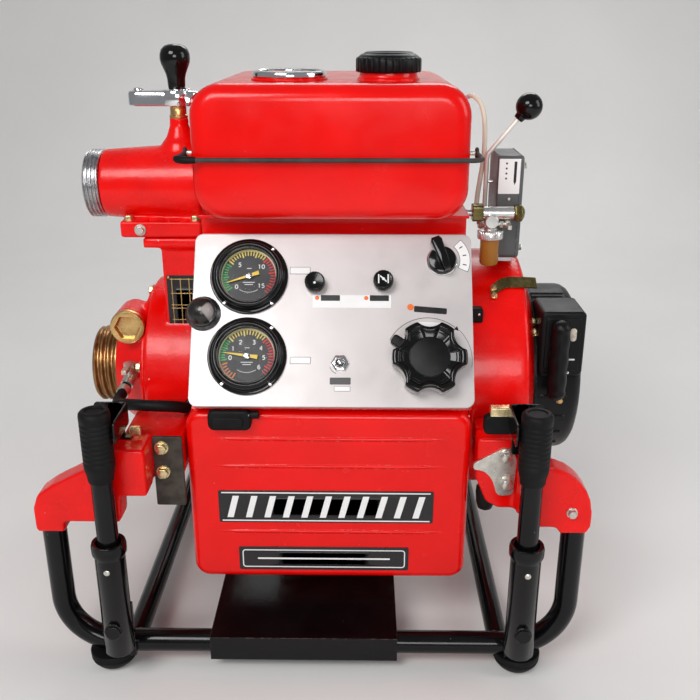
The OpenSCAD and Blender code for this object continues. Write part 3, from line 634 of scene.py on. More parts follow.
plug_rings = [plug_ring(r, h) for r, h in ((15, -18), (15, 0), (20.2, 0), (20.5, 0.6), (20.5, 7.2),
    (19.6, 8.6), (18.4, 8.9))]
plug_rings += [plug_ring(r, h, True) for r, h in ((13.6, 8.9), (12.9, 8.3), (12.4, 2.4), (11, 1.9))]
plug.add(skin(plug_rings), brass, front(-224.2, -92.1, 350))
plug.done("brass", "priming_plug")

studs = Piece("pump_studs")
for i in range(10):
    a = radians(18 + 36 * i)
    y, z = AXIS_Y - 97 * cos(a), AXIS_Z + 97 * sin(a)
    if abs(z - 350) < 30 and y < -30:
        continue
    studs.add(bolt(6.2, 5, 1.2), yellow_zinc, to_left(-208.6, y, z))
for i in range(8):
    a = radians(22 + 45 * i)
    studs.add(bolt(5.2, 4, 1), yellow_zinc, to_right(-131, AXIS_Y - 104 * cos(a), AXIS_Z + 104 * sin(a)))
for x, y in ((-212, -94), (-137, -94), (-212, -28), (-137, -28)):
    studs.add(bolt(5.6, 4.8, 1.2), yellow_zinc, facing((x, y, 476.6), (0, 0, 1)))
studs.add(bolt(5.8, 4.6, 1.2), zinc, front(-198, -104.0, 467.6))
studs.done("zinc_plate")

PLATE_Y = -98
plate = Piece("data_plate")
plate.add(slab(42, 71, 1.5, 0, 1.1, (0, 0.3)), label_black, front(-153, PLATE_Y, 378))
for x in (-168, -158, -148, -138):
    plate.add(slab(0.9, 64, 0.4, 1.1, 1.35), label_gold, front(x, PLATE_Y, 378))
for z in (346.5, 360, 374, 378, 392, 409):
    plate.add(slab(34, 0.9, 0.4, 1.1, 1.36), label_gold, front(-153, PLATE_Y, z))
for x in (-171.5, -134.5):
    for z in (345, 411):
        plate.add(screw(1.6, 0.9), brass, front(x, PLATE_Y - 1.1, z))
plate.done("black_plastic")

# ---------- discharge side ----------

outlet = Piece("discharge_thread")
outlet.add(thread(38.5, 2.1, 4.2, 17.8, 31, 128), machined, to_left(-243.2, VALVE_Y, OUTLET_Z))
outlet.done("cast_alloy", "discharge_outlet")

gland = Piece("valve_gland")
gland.add(hollow([(7.2, 0), (10.2, 0), (10.2, 3), (9, 4), (9, 11.6), (8.2, 12.6), (7.2, 12.6)], 48), brass,
          at(VALVE_X, VALVE_Y, 586.0))
gland.done("brass")

lever = Piece("valve_lever", "discharge_valve")
hub = [(7.1, 0), (16.4, 0), (17, 0.8), (17, 15), (16, 16.4), (9, 16.4), (9, 17)]
lever.add(lathe(hub, 64), chrome, at(VALVE_X, VALVE_Y, 600))
bar_outline = []
for cx, r, start in ((-143, 13, -90), (-198, 11.5, 90)):
    for i in range(13):
        a = radians(start + 180 * i / 12)
        bar_outline.append((cx - VALVE_X + r * cos(a), r * sin(a)))


def inset_outline(outline, share):
    """The lever bar's outline, drawn in by a share of its half width."""
    cx = sum(p[0] for p in outline) / len(outline)
    return [(cx + (x - cx) * (1 - share * 0.35), y * (1 - share)) for x, y in outline]


bar_rings = []
for share, z in ((0.10, 599.4), (0, 600.6), (0, 613), (0.08, 614.6), (0.2, 615.4)):
    bar_rings.append([(x, y, z) for x, y in inset_outline(bar_outline, share)])
lever.add(skin(bar_rings), chrome, at(VALVE_X, VALVE_Y, 0))
lever.add(lathe([(5.4, 0), (5.4, 2.4), (4.6, 3.4), (2, 3.7)], 40), chrome, at(-198, VALVE_Y, 615.0))
lever.add(lathe([(3, 0), (3, 2.2), (2.2, 3)], 32), chrome, at(-143.5, VALVE_Y, 615.0))
pear = [(8.4, 616), (9.2, 618), (9.6, 622), (9.9, 628), (11, 633), (13.2, 638.5), (15.6, 644), (16.6, 649),
    (16.3, 654)]
pear += [(14.6, 659), (11, 662.6), (6, 664.2), (1, 664.5)]
lever.add(lathe(pear, 64), black_gloss, at(VALVE_X, VALVE_Y, 0))
lever.done("chrome", "discharge_lever")

# ---------- fuel tank ----------

TANK_W, TANK_D, TANK_H, TANK_R = 289, 280, 139, 33
tank_left, tank_front, tank_bottom = -126, -165, 490
tank_middle = (tank_left + TANK_W / 2, tank_bottom + TANK_H / 2)
strap_z, strap_y = 555, -115

neck_place = at(79, -90, 0)
tank = Piece("tank_shell")
tank.add(slab(TANK_W, TANK_H, TANK_R, 0, TANK_D, (17, 17), 9), red_sheet,
         front(tank_middle[0], tank_front + TANK_D, tank_middle[1]))
neck = [(28, 622), (33.5, 622), (33.5, 630.5), (31.8, 632), (31, 634), (31, 651), (30, 651.5), (28, 651.5)]
tank.add(hollow(neck, 64), red_sheet, neck_place)
for x, way in ((tank_left, -1), (tank_left + TANK_W, 1)):
    tank.add(lathe([(7.5, -4), (7.5, 0.6), (6.5, 1.2), (2.5, 1.2), (2.5, 12.6), (2.0, 13)], 32), zinc,
             facing((x, strap_y, strap_z), (way, 0, 0)))
tank.done("red_paint", "fuel_tank")

cap = Piece("tank_cap", "cap")


def knurl(count, depth):
    """Radius of a grooved rim at an angle."""
    return lambda a: 1 - depth * max(0, cos(count * a)) ** 6


cap_side = [(31.1, 637.3), (34.2, 637), (35, 638), (35, 649.4), (34.4, 651)]
cap.add(lathe(cap_side + [(33.2, 652)], 180, shape=knurl(30, 0.035)), black_plastic, neck_place)
cap.add(lathe([(33.4, 650.8), (31, 653.6), (28.4, 655.2), (26.4, 655.6), (25.4, 656.8), (23, 657.6),
    (20.5, 657.2), (19.8, 656.2), (1, 656.4)], 90), black_plastic, neck_place)
cap.done("black_plastic", "fuel_cap")

level_place = at(-27, -90, 0)
level = Piece("level_gauge")
level.add(lathe([(1, 629.1), (41, 629.1), (41, 631), (38.6, 632), (38.6, 633)], 90), red_sheet, level_place)
level.add(hollow([(30, 632), (38, 632), (39.8, 633), (40, 636.2), (38.6, 638.2), (35.6, 638.8), (34.4, 637.8),
    (34.2, 636)], 90), chrome, level_place)
level.add(lathe([(34.5, 633), (34.5, 636.4), (33, 636.9), (1, 636.9)], 90), black_plastic, level_place)
level.add(slab(46, 9, 3, 637.0, 637.6, (0, 0.2)), dial_white, level_place)
level.add(slab(14, 7, 2, 637.5, 637.9, (0, 0.1)), dial_red, at(-39, -90, 0))
for i in range(5):
    level.add(slab(0.9, 5 if i % 2 else 7, 0.3, 637.6, 637.9), dial_black, at(8 * i - 37, -90, 0))
level.add(lathe([(34.4, 638.2), (30, 639.8), (20, 640.7), (1, 641)], 90), dial_glass, level_place)
level.done("black_plastic", "fuel_level_gauge")

strap = Piece("tank_bail")
left, right, near = tank_left - 13.5, tank_left + TANK_W + 11.5, tank_front - 6
bend = 12
turns = [polar(bend, radians(a)) for a in range(0, 91, 10)]
bail = [(left, strap_y - 5, strap_z)]
bail += [(left + bend - x, near + bend - y, strap_z) for x, y in turns]
bail += [(right - bend + y, near + bend - x, strap_z) for x, y in turns]
bail += [(right, strap_y - 5, strap_z)]
strap.add(tube(bail, 2.5, 20), heat_black)
for x in (left, right):
    eye = [(x, strap_y + 4.4 * cos(tau * k / 24), strap_z + 4.4 * sin(tau * k / 24)) for k in range(25)]
    strap.add(tube(eye, 1.9, 12), heat_black)
corner_sleeve = [(left, near + bend + 4, strap_z), *bail[1:11], (left + bend + 5, near, strap_z),
    (left + bend + 9, near, strap_z)]
strap.add(tube(corner_sleeve, lambda s: 3.9 - 0.6 * (abs(2 * s - 1) ** 6), 20), rubber)
strap.done("black_rubber", "tank_strap")

# ---------- hoses ----------

hoses = Piece("drain_hose")
drain_route = [(-226, -121, 284), (-228, -136, 280), (-228, -152, 278.5), (-222, -168, 282),
    (-210, -181, 287.5), (-196, -189, 290.5), (-181, -191.5, 290.8), (-166, -189.5, 289.5), (-153, -181, 285),
    (-146, -170, 279), (-145, -160, 277.5), (-142, -149, 277.5), (-136, -140, 278), (-125, -137, 280),
    (-108, -134, 284)]
hoses.add(tube(smooth_path(drain_route, 8), 6.4, 24), rubber)
hoses.add(tube(smooth_path([(-226.2, -124, 282.8), (-227.6, -130, 280.5), (-228.2, -133, 279.4)], 4), 7.5,
    24), zinc)
hoses.done("black_rubber", "hoses")
fuel_route = [(180, -90.9, 487), (181.5, -79, 489), (184, -63, 499), (188, -50, 517), (192, -41, 540),
    (193, -35, 562), (192, -29, 584), (188, -21, 599), (181, -9, 606), (176, 7, 604), (174, 24, 596),
    (173, 34, 584), (171, 40, 572), (168, 42, 566), (164, 42, 564.5)]
fuel_line = Piece("fuel_hose")
fuel_line.add(tube(smooth_path(fuel_route, 6), 2.8, 16), clear_tube)
for end, beside in ((0, 1), (-1, -2)):
    a, b = Vector(fuel_route[end]), Vector(fuel_route[beside])
    fuel_line.add(tube([a.lerp(b, s / 4 * 0.8) for s in range(5)], 3.7, 16), zinc)
fuel_line.done("black_rubber")

# ---------- gauges ----------

DIGITS = {0: [[(0.5, 1.6), (0.1, 1.3), (0, 0.8), (0.1, 0.3), (0.5, 0), (0.9, 0.3), (1, 0.8), (0.9, 1.3),
    (0.5, 1.6)]], 1: [[(0.2, 1.3), (0.55, 1.6)], [(0.55, 1.6), (0.55, 0)]],
    2: [[(0.05, 1.25), (0.3, 1.55), (0.7, 1.55), (0.95, 1.2), (0.7, 0.75), (0.05, 0.05)],
    [(0.05, 0.05), (1, 0.05)]], 3: [[(0.05, 1.4), (0.5, 1.6), (0.9, 1.25), (0.4, 0.85), (0.95, 0.4), (0.5, 0),
    (0.05, 0.2)]], 4: [[(0.75, 0), (0.75, 1.6)], [(0.75, 1.6), (0, 0.5)], [(0, 0.5), (1, 0.5)]],
    5: [[(0.9, 1.55), (0.15, 1.55)], [(0.15, 1.55), (0.1, 0.85)],
    [(0.1, 0.85), (0.55, 1), (0.95, 0.5), (0.5, 0), (0.05, 0.15)]],
    6: [[(0.85, 1.5), (0.3, 1.3), (0.05, 0.6), (0.3, 0.05), (0.75, 0.05), (0.95, 0.45), (0.65, 0.85),
    (0.15, 0.65)]],}


def ribbon(points, width, low, high):
    """A flat bar of even width that follows the points."""
    rings = []
    for i, p in enumerate(points):
        a, b = points[max(i - 1, 0)], points[min(i + 1, len(points) - 1)]
        run = Vector((b[0] - a[0], b[1] - a[1])).normalized() * width / 2
        left, right = (p[0] - run.y, p[1] + run.x), (p[0] + run.y, p[1] - run.x)
        rings.append([(*left, low), (*left, high), (*right, high), (*right, low)])
    return skin(rings)


def arc_line(r, start, end, step=3):
    """Points on an arc, in degrees."""
    count = max(2, int(abs(end - start) / step))
    return [polar(r, radians(start + (end - start) * i / count)) for i in range(count + 1)]


def number(value, size, low, high):
    """A dial number's strokes, about the middle."""
    shapes = []
    text = [int(c) for c in str(value)]
    for place, digit in enumerate(text):
        shift = (place - (len(text) - 1) / 2) * 1.45 - 0.5
        for stroke in DIGITS[digit]:
            line = [((x + shift) * size, (y - 0.8) * size) for x, y in stroke]
            if len(line) > 2:
                line = [(p.x, p.y) for p in smooth_path([(*p, 0) for p in line], 3)]
            shapes.append(ribbon(line, size * 0.34, low, high))
    return join(*shapes)


def gauge(name, place, bands, numbers):
    """A round gauge: stepped black case, dark steel ring, dial, coloured ticks, numbers and glass."""
    case = Piece(name)
    spot = on_panel(*place)
    body = [(31, -31), (31, 0.1), (41.2, 0.1), (42, 0.8), (42, 2.2), (41.2, 3), (38.6, 3.2), (37.8, 3.9),
        (37.4, 6)]
    body += [(36.9, 8.6), (35.8, 10.6), (34.4, 11.7), (33.2, 12), (32.2, 11.6), (31.4, 10.4), (30.9, 8.6)]
    body += [(30.6, 1), (28, 0.6), (28, -31)]
    case.add(hollow(body, 96), black_gloss, spot)
    case.add(hollow([(30.6, 6.4), (31.1, 9.4), (30.5, 9.9), (29.9, 9.3), (29.7, 6.4)], 96), steel_dark, spot)
    case.add(lathe([(30.4, 0.7), (30.4, 1.3), (0.5, 1.3)], 96), dial_black, spot)
    case.add(ribbon(arc_line(29.5, 0, 360), 1.5, 1.3, 1.55), dial_cream, spot)
    for material, start, end, step in bands:
        count = round(abs(start - end) / step)
        for i in range(count + 1):
            a = start + (end - start) * i / count
            inner = 21.6 if i % 5 == 0 else 23.2
            tick = ribbon([(inner, 0), (28.2, 0)], 1.5 if i % 5 == 0 else 1.15, 1.3, 1.5)
            case.add(tick, material, spot @ Matrix.Rotation(radians(a), 4, "Z"))
        case.add(ribbon(arc_line(28.3, start, end), 0.6, 1.3, 1.45), material, spot)
    for value, a, r in numbers:
        case.add(number(value, 2.8, 1.3, 1.5), dial_white, spot @ at(*polar(r, radians(a), 0)))
    for x, y, w in ((0, 8.8, 5), (0, -6.8, 13), (0, -9.2, 9)):
        case.add(ribbon([(x - w / 2, y), (x + w / 2, y)], 0.8, 1.3, 1.45), dial_white, spot)
    case.add(ribbon(arc_line(17.8, 236, 304), 0.5, 1.3, 1.45), dial_white, spot)
    for a in (50, 230, -50):
        case.add(screw(2.0, 1.2), chrome, spot @ at(*polar(39.7, radians(a), 2.9)))
    case.add(lathe([(31.0, 9.0), (31.0, 9.6), (22, 10.6), (10, 11.1), (0.5, 11.2)], 64), dial_glass, spot)
    case.add(lathe([(1.4, 1.3), (1.4, 5.4), (1.0, 5.8), (0.3, 5.8)], 24), chrome, spot)
    return case


def pointer(name, body, place, angle, node):
    """A gauge pointer: a tapered blade on a hub, with a wide tail."""
    hand = Piece(name, body)
    blade = [(-11.5, 2.3), (-3.4, 1.7), (0, 1.6), (24.5, 0.35), (24.5, -0.35), (0, -1.6), (-3.4, -1.7),
        (-11.5, -2.3)]
    hand.add(prism(blade[::-1], 3.2, 3.9), needle_yellow, on_panel(*place, 0, angle))
    hand.add(hollow([(1.5, 2.7), (3.7, 2.7), (3.9, 3), (3.9, 4.4), (3.4, 4.8), (1.5, 4.8)], 40), chrome,
             on_panel(*place, 0, angle))
    hand.done("needle_yellow", node)


PRESSURE, VACUUM = (-90, 46.5), (-89.5, -41.2)
pressure_bands = [(dial_green, 215, 151, 6.4), (dial_yellow, 142, 52, 7), (dial_red, 45, -42, 7)]
pressure_numbers = [(0, 222, 17.5), (5, 128, 16.5), (10, 40, 17), (15, -38, 17)]
vacuum_bands = [(dial_orange, 238, 200, 7), (dial_green, 190, 142, 6.4), (dial_yellow, 134, 48, 7),
    (dial_red, 41, -44, 7)]
vacuum_numbers = [(0, 186, 17.8), (1, 152, 17), (2, 116, 16.5), (3, 64, 16.5), (4, 30, 17), (5, -5, 18),
    (6, -42, 17.5)]
gauge("pressure_gauge", PRESSURE, pressure_bands, pressure_numbers).done("black_plastic", "gauge_cases")
gauge("vacuum_gauge", VACUUM, vacuum_bands, vacuum_numbers).done("black_plastic")
pointer("pressure_hand", "pressure_pointer", PRESSURE, 198.6, "pressure_needle")
pointer("vacuum_hand", "vacuum_pointer", VACUUM, 172.4, "vacuum_needle")

# ---------- panel lamp ----------

lamp_spot = on_panel(-138, 5)
lamp = Piece("panel_lamp_hood")
lamp.add(lathe([(6, -9), (6, 0.1), (18.3, 0.1), (19, 0.8), (18.6, 2.2), (16.6, 3.4), (15.6, 4.2), (15.4, 8.6),
    (14.4, 9.4), (0.5, 9.4)], 72), steel_dark, lamp_spot)
hood = []
for k in range(31):
    a = radians(52 + 256 * k / 30)
    outer = [(15.6 * cos(radians(t)), 8.6 + 14 * sin(radians(t))) for t in range(0, 84, 8)]
    inner = [(14.4 * cos(radians(t)), 8.6 + 12.8 * sin(radians(t))) for t in range(80, -1, -8)]
    hood.append([polar(r, a, h) for r, h in outer + inner])
lamp.add(skin(hood), lamp_black, lamp_spot)
lamp.add(lathe([(12.6, 9.2), (12.2, 12), (10.6, 15.6), (8, 18.4), (4, 20), (0.5, 20.4)], 48), lens, lamp_spot)
lamp.done("chrome", "panel_lamp")

# ---------- knobs and labels on the panel ----------


def label(card, u, v, w, h, fill, turn=0, border=0.45):
    """A thin blank label with a black border."""
    spot = on_panel(u, v, 0, turn)
    if border:
        card.add(slab(w, h, 0.9, 0.02, 0.16), label_black, spot)
    card.add(slab(w - 2 * border, h - 2 * border, 0.6, 0.02, 0.28 if border else 0.2), fill, spot)


light_spot = on_panel(9, -48.5)
SWITCH, CHOKE, TICKLER, DIAL = (118, 64.5), (54.5, 40), (-18.5, 38), (102, -46)
labels = Piece("panel_labels")
for u, v, w, h in ((-35, 53.5, 22, 8), (-33, -45.5, 22, 7.5)):
    label(labels, u, v, w, h, label_white)
label(labels, 21, 19.3, 84, 14.4, label_white, border=0)
for u in (-2, 50.5):
    label(labels, u, 23, 20.5, 6.4, label_black, border=0.01)
    label(labels, u, 16, 20.5, 5.6, label_white)
label(labels, 24, 19.4, 29, 13.6, label_white)
for u, v in ((-16.2, 23), (36.4, 23)):
    labels.add(lathe([(2.3, 0), (2.3, 0.34), (0.2, 0.34)], 24), label_orange, on_panel(u, v))
labels.add(slab(35, 6.6, 1.2, 0, 0.3), label_black, on_panel(105, 10, 0, -4.5))
labels.add(lathe([(3.5, 0), (3.5, 0.36), (0.2, 0.36)], 32), label_orange, on_panel(83.8, 13.2))
labels.add(slab(28, 6.6, 1, 0, 0.3), label_white, on_panel(104, -6.6, 0, -2))
labels.add(ribbon(arc_line(45.5, 152, 50), 0.55, 0, 0.2), label_black, on_panel(102, -44))
labels.add(ribbon(arc_line(46.5, 44, -10), 0.4, 0, 0.2), label_black, on_panel(102, -44))
labels.add(prism([(-2.6, 0), (2.2, -2.6), (2.2, 2.6)][::-1], 0, 0.2), label_black,
           on_panel(102 + 45.5 * cos(radians(47)), -44 + 45.5 * sin(radians(47)), 0, 137))
scale_spot = on_panel(117.5, 66)
labels.add(ribbon(arc_line(25.5, 48, -26), 11.4, 0, 0.16), label_black, scale_spot)
labels.add(ribbon(arc_line(25.5, 47, -25), 10.4, 0, 0.26), label_white, scale_spot)
for a in (34, 12, -12):
    labels.add(ribbon([(23.6, 0), (27.6, 0)], 1.1, 0.26, 0.34), label_black, on_panel(117.5, 66, 0, a))
labels.add(slab(22, 7.4, 1, 0, 0.25), label_grey, on_panel(9.4, -67.4))
label(labels, 11.5, -75.6, 17, 5.6, label_white, border=0.35)
labels.add(ribbon(arc_line(11.5, 200, 250), 0.5, 0, 0.2), label_black, light_spot)
labels.done("panel_white")

fittings = Piece("panel_screws")
fittings.add(hollow([(4.3, 0.1), (8.2, 0.1), (8.2, 2.8), (7.4, 3.4), (4.3, 3.4)], 48, shape=hexagon), chrome,
             light_spot)
fittings.add(hollow([(4.3, 3.0), (5.7, 3.0), (5.7, 5.0), (5.3, 5.4), (4.3, 5.4)], 40), chrome, light_spot)
for u, v in (CHOKE, TICKLER, SWITCH):
    fittings.add(hollow([(4.3, 0.05), (8.4, 0.05), (8.4, 0.5), (4.3, 0.5)], 40), zinc, on_panel(u, v))
fittings.done("chrome")

bat = Piece("toggle_bat", "light_switch")
bat.add(lathe([(0.3, -2.9), (2.6, -2.2), (3.6, 0), (2.8, 2.0), (1.9, 3.0), (2.0, 5), (2.6, 9.4), (2.4, 10.5),
    (1.3, 11), (0.2, 11)], 32), chrome, light_spot)
bat.done("chrome", "light_toggle")


def pull_knob(name, body, u, v, node, mark):
    """A grooved pull knob on its stem, with a mark on its face."""
    spot = on_panel(u, v)
    knob = Piece(name, body)
    knob.add(lathe([(1, -38), (4, -38), (4, 0.6)], 32), zinc, spot)
    side = [(7, 0.7), (7, 4), (10, 4.4), (10.8, 5.2), (10.8, 12.8), (10.3, 14.2), (9.2, 15), (7.4, 14.8),
        (0.4, 14.3)]
    knob.add(lathe(side, 120, shape=knurl(20, 0.03)), black_gloss, spot)
    mark(knob, spot)
    knob.done("black_plastic", node)


def dot_mark(knob, spot):
    knob.add(lathe([(1.3, 14.2), (1.3, 14.7), (0.2, 14.8)], 24), label_white, spot @ at(0, -2, 0))


def choke_mark(knob, spot):
    """The usual choke sign: an air pipe's two walls with a flap across."""
    for line in ([(-5.0, -4.6), (-5.0, 5.2)], [(5.0, -4.6), (5.0, 5.2)], [(-3.4, 3.6), (3.4, -2.8)]):
        knob.add(ribbon(line, 1.3, 14.2, 15.1), label_white, spot)
    knob.add(lathe([(1.5, 14.2), (1.5, 15.2), (0.2, 15.2)], 20), label_white, spot @ at(0, 0.4, 0))


pull_knob("tickler_pull", "tickler", *TICKLER, "tickler_knob", dot_mark)
pull_knob("choke_pull_knob", "choke", *CHOKE, "choke_knob", choke_mark)

turn_switch = Piece("main_switch_knob", "main_switch")
switch_spot = on_panel(*SWITCH)
turn_switch.add(lathe([(1, -8), (4, -8), (4, 0.6)], 24), zinc, switch_spot)
turn_switch.add(lathe([(4, 0.6), (16.2, 0.6), (16.5, 1), (16.5, 2.4), (15.6, 3.2)], 72), chrome, switch_spot)
turn_switch.add(lathe([(15.5, 2.8), (15.2, 7), (14.3, 9), (12, 9.8), (0.4, 10)], 72), black_gloss,
    switch_spot)
wing = []
for h, inset in ((8.5, 0), (16, 0), (17.8, 0.7), (18.7, 1.7), (19, 2.8)):
    side = [(-14 + inset, 3.4), (-2, 5 - inset * 0.5), (20, 6.4 - inset), (24 - inset, 4.2 - inset * 0.5)]
    wing.append([(x, -y, h) for x, y in side] + [(x, y, h) for x, y in side[::-1]])
turn_switch.add(skin(wing), black_gloss, on_panel(*SWITCH, 0, 110.6))
turn_switch.done("black_plastic", "switch_knob")


def star(angle):
    """Radius of the throttle dial at an angle, over its outer radius: six lobes between round hollows."""
    outer, hollow_r, hollow_at = 39, 18, 50
    off = (angle % radians(60)) - radians(30)
    reach = hollow_r**2 - (hollow_at * sin(off)) ** 2
    cut = hollow_at * cos(off) - math.sqrt(reach) if reach > 0 else outer
    return min(outer, cut) / outer


dial = Piece("throttle_star", "throttle")
throttle_spot = on_panel(*DIAL)
dial.add(lathe([(1, -8), (4, -8), (4, 0.6)], 24), zinc, throttle_spot)
dial.add(lathe([(4, 0.6), (27.6, 0.6), (28, 1), (28, 6.4)], 72), black_plastic, throttle_spot)
crown = [(24, 6.2), (37, 6.2), (38.6, 6.8), (39, 8.2), (39, 24.6), (38.6, 26.4), (37.6, 27.6), (36, 28),
    (33.6, 28)]
crown += [(32.4, 27.4), (31.6, 26.2), (30.8, 25.7), (0.5, 25.5)]
dial.add(lathe(crown, 240, shape=star), black_gloss, throttle_spot)
dial.add(lathe([(21, 25.3), (20.6, 26.3), (19.6, 26.7), (0.5, 26.9)], 72), black_plastic, throttle_spot)
for k in range(6):
    for r in (27.5, 30.2):
        rib = ribbon([polar(r, radians(60 * k + a)) for a in range(-9, 10, 3)], 0.9, 25.4, 26.3)
        dial.add(rib, black_plastic, throttle_spot)
dial.add(slab(27, 11, 3.4, 1, 10, (0, 1.6)), black_plastic, on_panel(*DIAL, 0, 148) @ at(31.4, 0, 0))
dial.done("black_plastic", "throttle_dial")

# ---------- front cover ----------

COVER_W, COVER_H, COVER_DEEP, WALL, COVER_FACE = 308, 208, 72, 2.5, -222
cover_spot = front(16, COVER_FACE + COVER_DEEP, 193)


def shell(w, h, r, deep, edge, wall, steps=8):
    """A pan with a rounded face, open at its back."""
    turns = [pi / 2 * i / steps for i in range(steps + 1)]
    inner = [(wall + (edge - wall) * (1 - cos(a)), deep - edge + (edge - wall) * sin(a)) for a in turns[::-1]]
    outer = [(edge * (1 - cos(a)), deep - edge + edge * sin(a)) for a in turns]
    rings = []
    for inset, z in inner + [(wall, 0), (0, 0)] + outer:
        outline = round_corners(w - 2 * inset, h - 2 * inset, max(r - inset, 1), 10)
        rings.append([(x, y, z) for x, y in outline])
    return skin(rings)


cover = Piece("cover_shell")
cover.add(shell(COVER_W, COVER_H, 18, COVER_DEEP, 9, WALL), red_sheet, cover_spot)
for z in (266, 233, 151):
    bead = [(-112 + 258 * i / 40, -221.4, z) for i in range(41)]
    cover.add(tube(bead, lambda s: 1.9 * min(1, 9 * s, 9 * (1 - s)) + 0.05, 20), red_trim)
for side in (-138, 170):
    way = -1 if side < 0 else 1
    for z in (118, 268):
        cover.add(bolt(4.2, 3, 1), zinc, facing((side - way * 0.2, -168, z), (way, 0, 0)))
cover.done("red_paint", "front_cover")

upper_plate = front(13, COVER_FACE, 183)
lower_plate = front(10, COVER_FACE, 116)
badges = Piece("blank_plates")
badges.add(slab(238, 40, 2, 0, 0.9, (0, 0.3)), label_black, upper_plate)
for y in (-17.5, 17.5):
    badges.add(ribbon([(-115.5, y), (115.5, y)], 1.4, 0.9, 1.1), label_white, upper_plate)
for i in range(11):
    x = -110 + 20.6 * i
    slant = [(x, -13.5), (x + 7, -13.5), (x + 14, 13.5), (x + 7, 13.5)]
    badges.add(prism(slant, 0.9, 1.15), label_white, upper_plate)
badges.add(slab(192, 30, 2, 0, 0.9, (0, 0.3)), label_black, lower_plate)
frame_line = round_corners(183, 22, 3, 5)
badges.add(ribbon(frame_line + frame_line[:1], 1.2, 0.9, 1.1), label_white, lower_plate)
badges.add(slab(150, 2.0, 0.9, 0.9, 1.1), label_white, lower_plate)
badges.done("black_plastic")

socket = Piece("rubber_socket")
socket.add(slab(46, 23, 7, 0, 11, (0, 3)), rubber, front(-88, -221.8, 291.5))
socket.add(slab(34, 12, 5, 10, 13, (0, 1.6)), rubber, front(-90, -221.8, 290))
socket.add(tube([(-68, -226.5, 296), (-63, -226.5, 296.6), (-57, -226.4, 297)], 4.4, 20), rubber)
socket.add(screw(1.6, 1.2), chrome, front(-68, -231.4, 298))
socket.done("black_rubber")

# ---------- recoil starter ----------

starter_spot = to_right(252.3, AXIS_Y, AXIS_Z)
starter = Piece("starter_shell")
drum = [(60, 0.2), (103, 0.2), (106, 0.2), (106, 3.6), (104.6, 4.8), (104.2, 6), (104.2, 44), (103.2, 49),
    (100, 54.2)]
drum += [(95, 57.6), (88, 59), (80, 59), (78.6, 57.4), (46, 57.4), (44.6, 58.8), (30, 59.2), (12, 59.4),
    (0.5, 59.4)]
starter.add(lathe(drum, 128), black_cast, starter_spot)
for k in range(24):
    spoke = starter_spot @ Matrix.Rotation(radians(15 * k), 4, "Z")
    starter.add(slab(28, 4.2, 1.6, 56, 59.2, (0, 0.8)), black_cast, spoke @ at(62.5, 0, 0))
    if not 5 <= k <= 8:
        starter.add(slab(3.4, 32, 1.2, 0, 1.7, (0, 0.7)), black_cast,
            spoke @ at(104, 0, 24) @ Matrix.Rotation(pi / 2, 4, "Y") @ Matrix.Rotation(pi / 2, 4, "Z"))
for r in (50, 62, 74):
    ring_top = [(r - 1.1, 56.8), (r + 1.1, 56.8), (r + 0.9, 58.6), (r - 0.9, 58.6)]
    starter.add(hollow(ring_top, 96), black_cast, starter_spot)
for k in range(6):
    a = radians(12 + 60 * k)
    starter.add(bolt(5, 4, 1.2), yellow_zinc, starter_spot @ at(*polar(111, a, -2.5)))
    starter.add(lathe([(9, -4), (9, -2.4), (8, -1.6), (2, -1.6)], 32), black_cast,
        starter_spot @ at(*polar(109.5, a, 0)))
starter.add(bolt(7, 5, 1.6), zinc, starter_spot @ at(0, 0, 53.0))
box_front = front(281.5, -71, 341)
starter.add(slab(51, 78, 6, 0, 56, (0, 3.5)), black_plastic, box_front)
starter.add(slab(40, 64, 4, 55.4, 57.2, (0, 1.2)), black_plastic, box_front)
guide = front(276, -129, 326)
starter.add(hollow([(6, -8), (10, -8), (10, 0), (9, 0.9), (7.4, 0.6), (6.2, -0.8)], 48), black_plastic, guide)
DRUM_R = 104.8
for z, length in ((376, 40), (370, 42), (364, 42), (358, 43)):
    y = AXIS_Y - math.sqrt(DRUM_R**2 - (z - AXIS_Z) ** 2) + 1
    louvre = [(256 + length * i / 12, y, z + 2) for i in range(13)]
    starter.add(tube(louvre, 1.4, 12), black_cast)
# painted highlights: the pale patch and the thin white bar beside the pull grip stand in for the shine on the
# grip, painted onto the housing's front
starter.add(slab(7.5, 15.5, 3.6, 0, 1.4, (0, 0.6)), painted_highlight, front(292.5, -128.2, 353.5))
starter.add(slab(9, 1.7, 0.6, 0, 1.0), label_white, front(292, -128.2, 323.5))
starter.add(screw(1.8, 1.4), chrome, front(290, -127, 306.5))
starter.add(bolt(3.6, 3, 0.8), brass, front(285, -123.2, 270))
starter.add(bolt(4.2, 3.6, 1), yellow_zinc, facing((253.5, -99.5, 346), (-0.3, -0.75, 0.6)))
starter.done("black_plastic", "recoil_housing")

handle = Piece("starter_grip", "pull_handle")
grip_line = [(276, -140, 277.5 + 97 * i / 40) for i in range(41)]


def grip_radius(s):
    end = min(1, 9 * s, 9 * (1 - s))
    return 10.8 * math.sqrt(max(0.02,
        1 - (1 - end) ** 2)) - 0.9 * (0.5 - 0.5 * cos(tau * 4 * s)) * (0.1 < s < 0.9)


handle.add(tube(grip_line, grip_radius, 32), black_plastic)
handle.add(lathe([(0.5, 0), (5.5, 0), (5.5, 26), (8, 29), (8, 36)], 32), black_plastic,
           front(276, -104, 326))
handle.done("black_plastic", "recoil_handle")

# ---------- belt guard, vacuum pump and its lever ----------

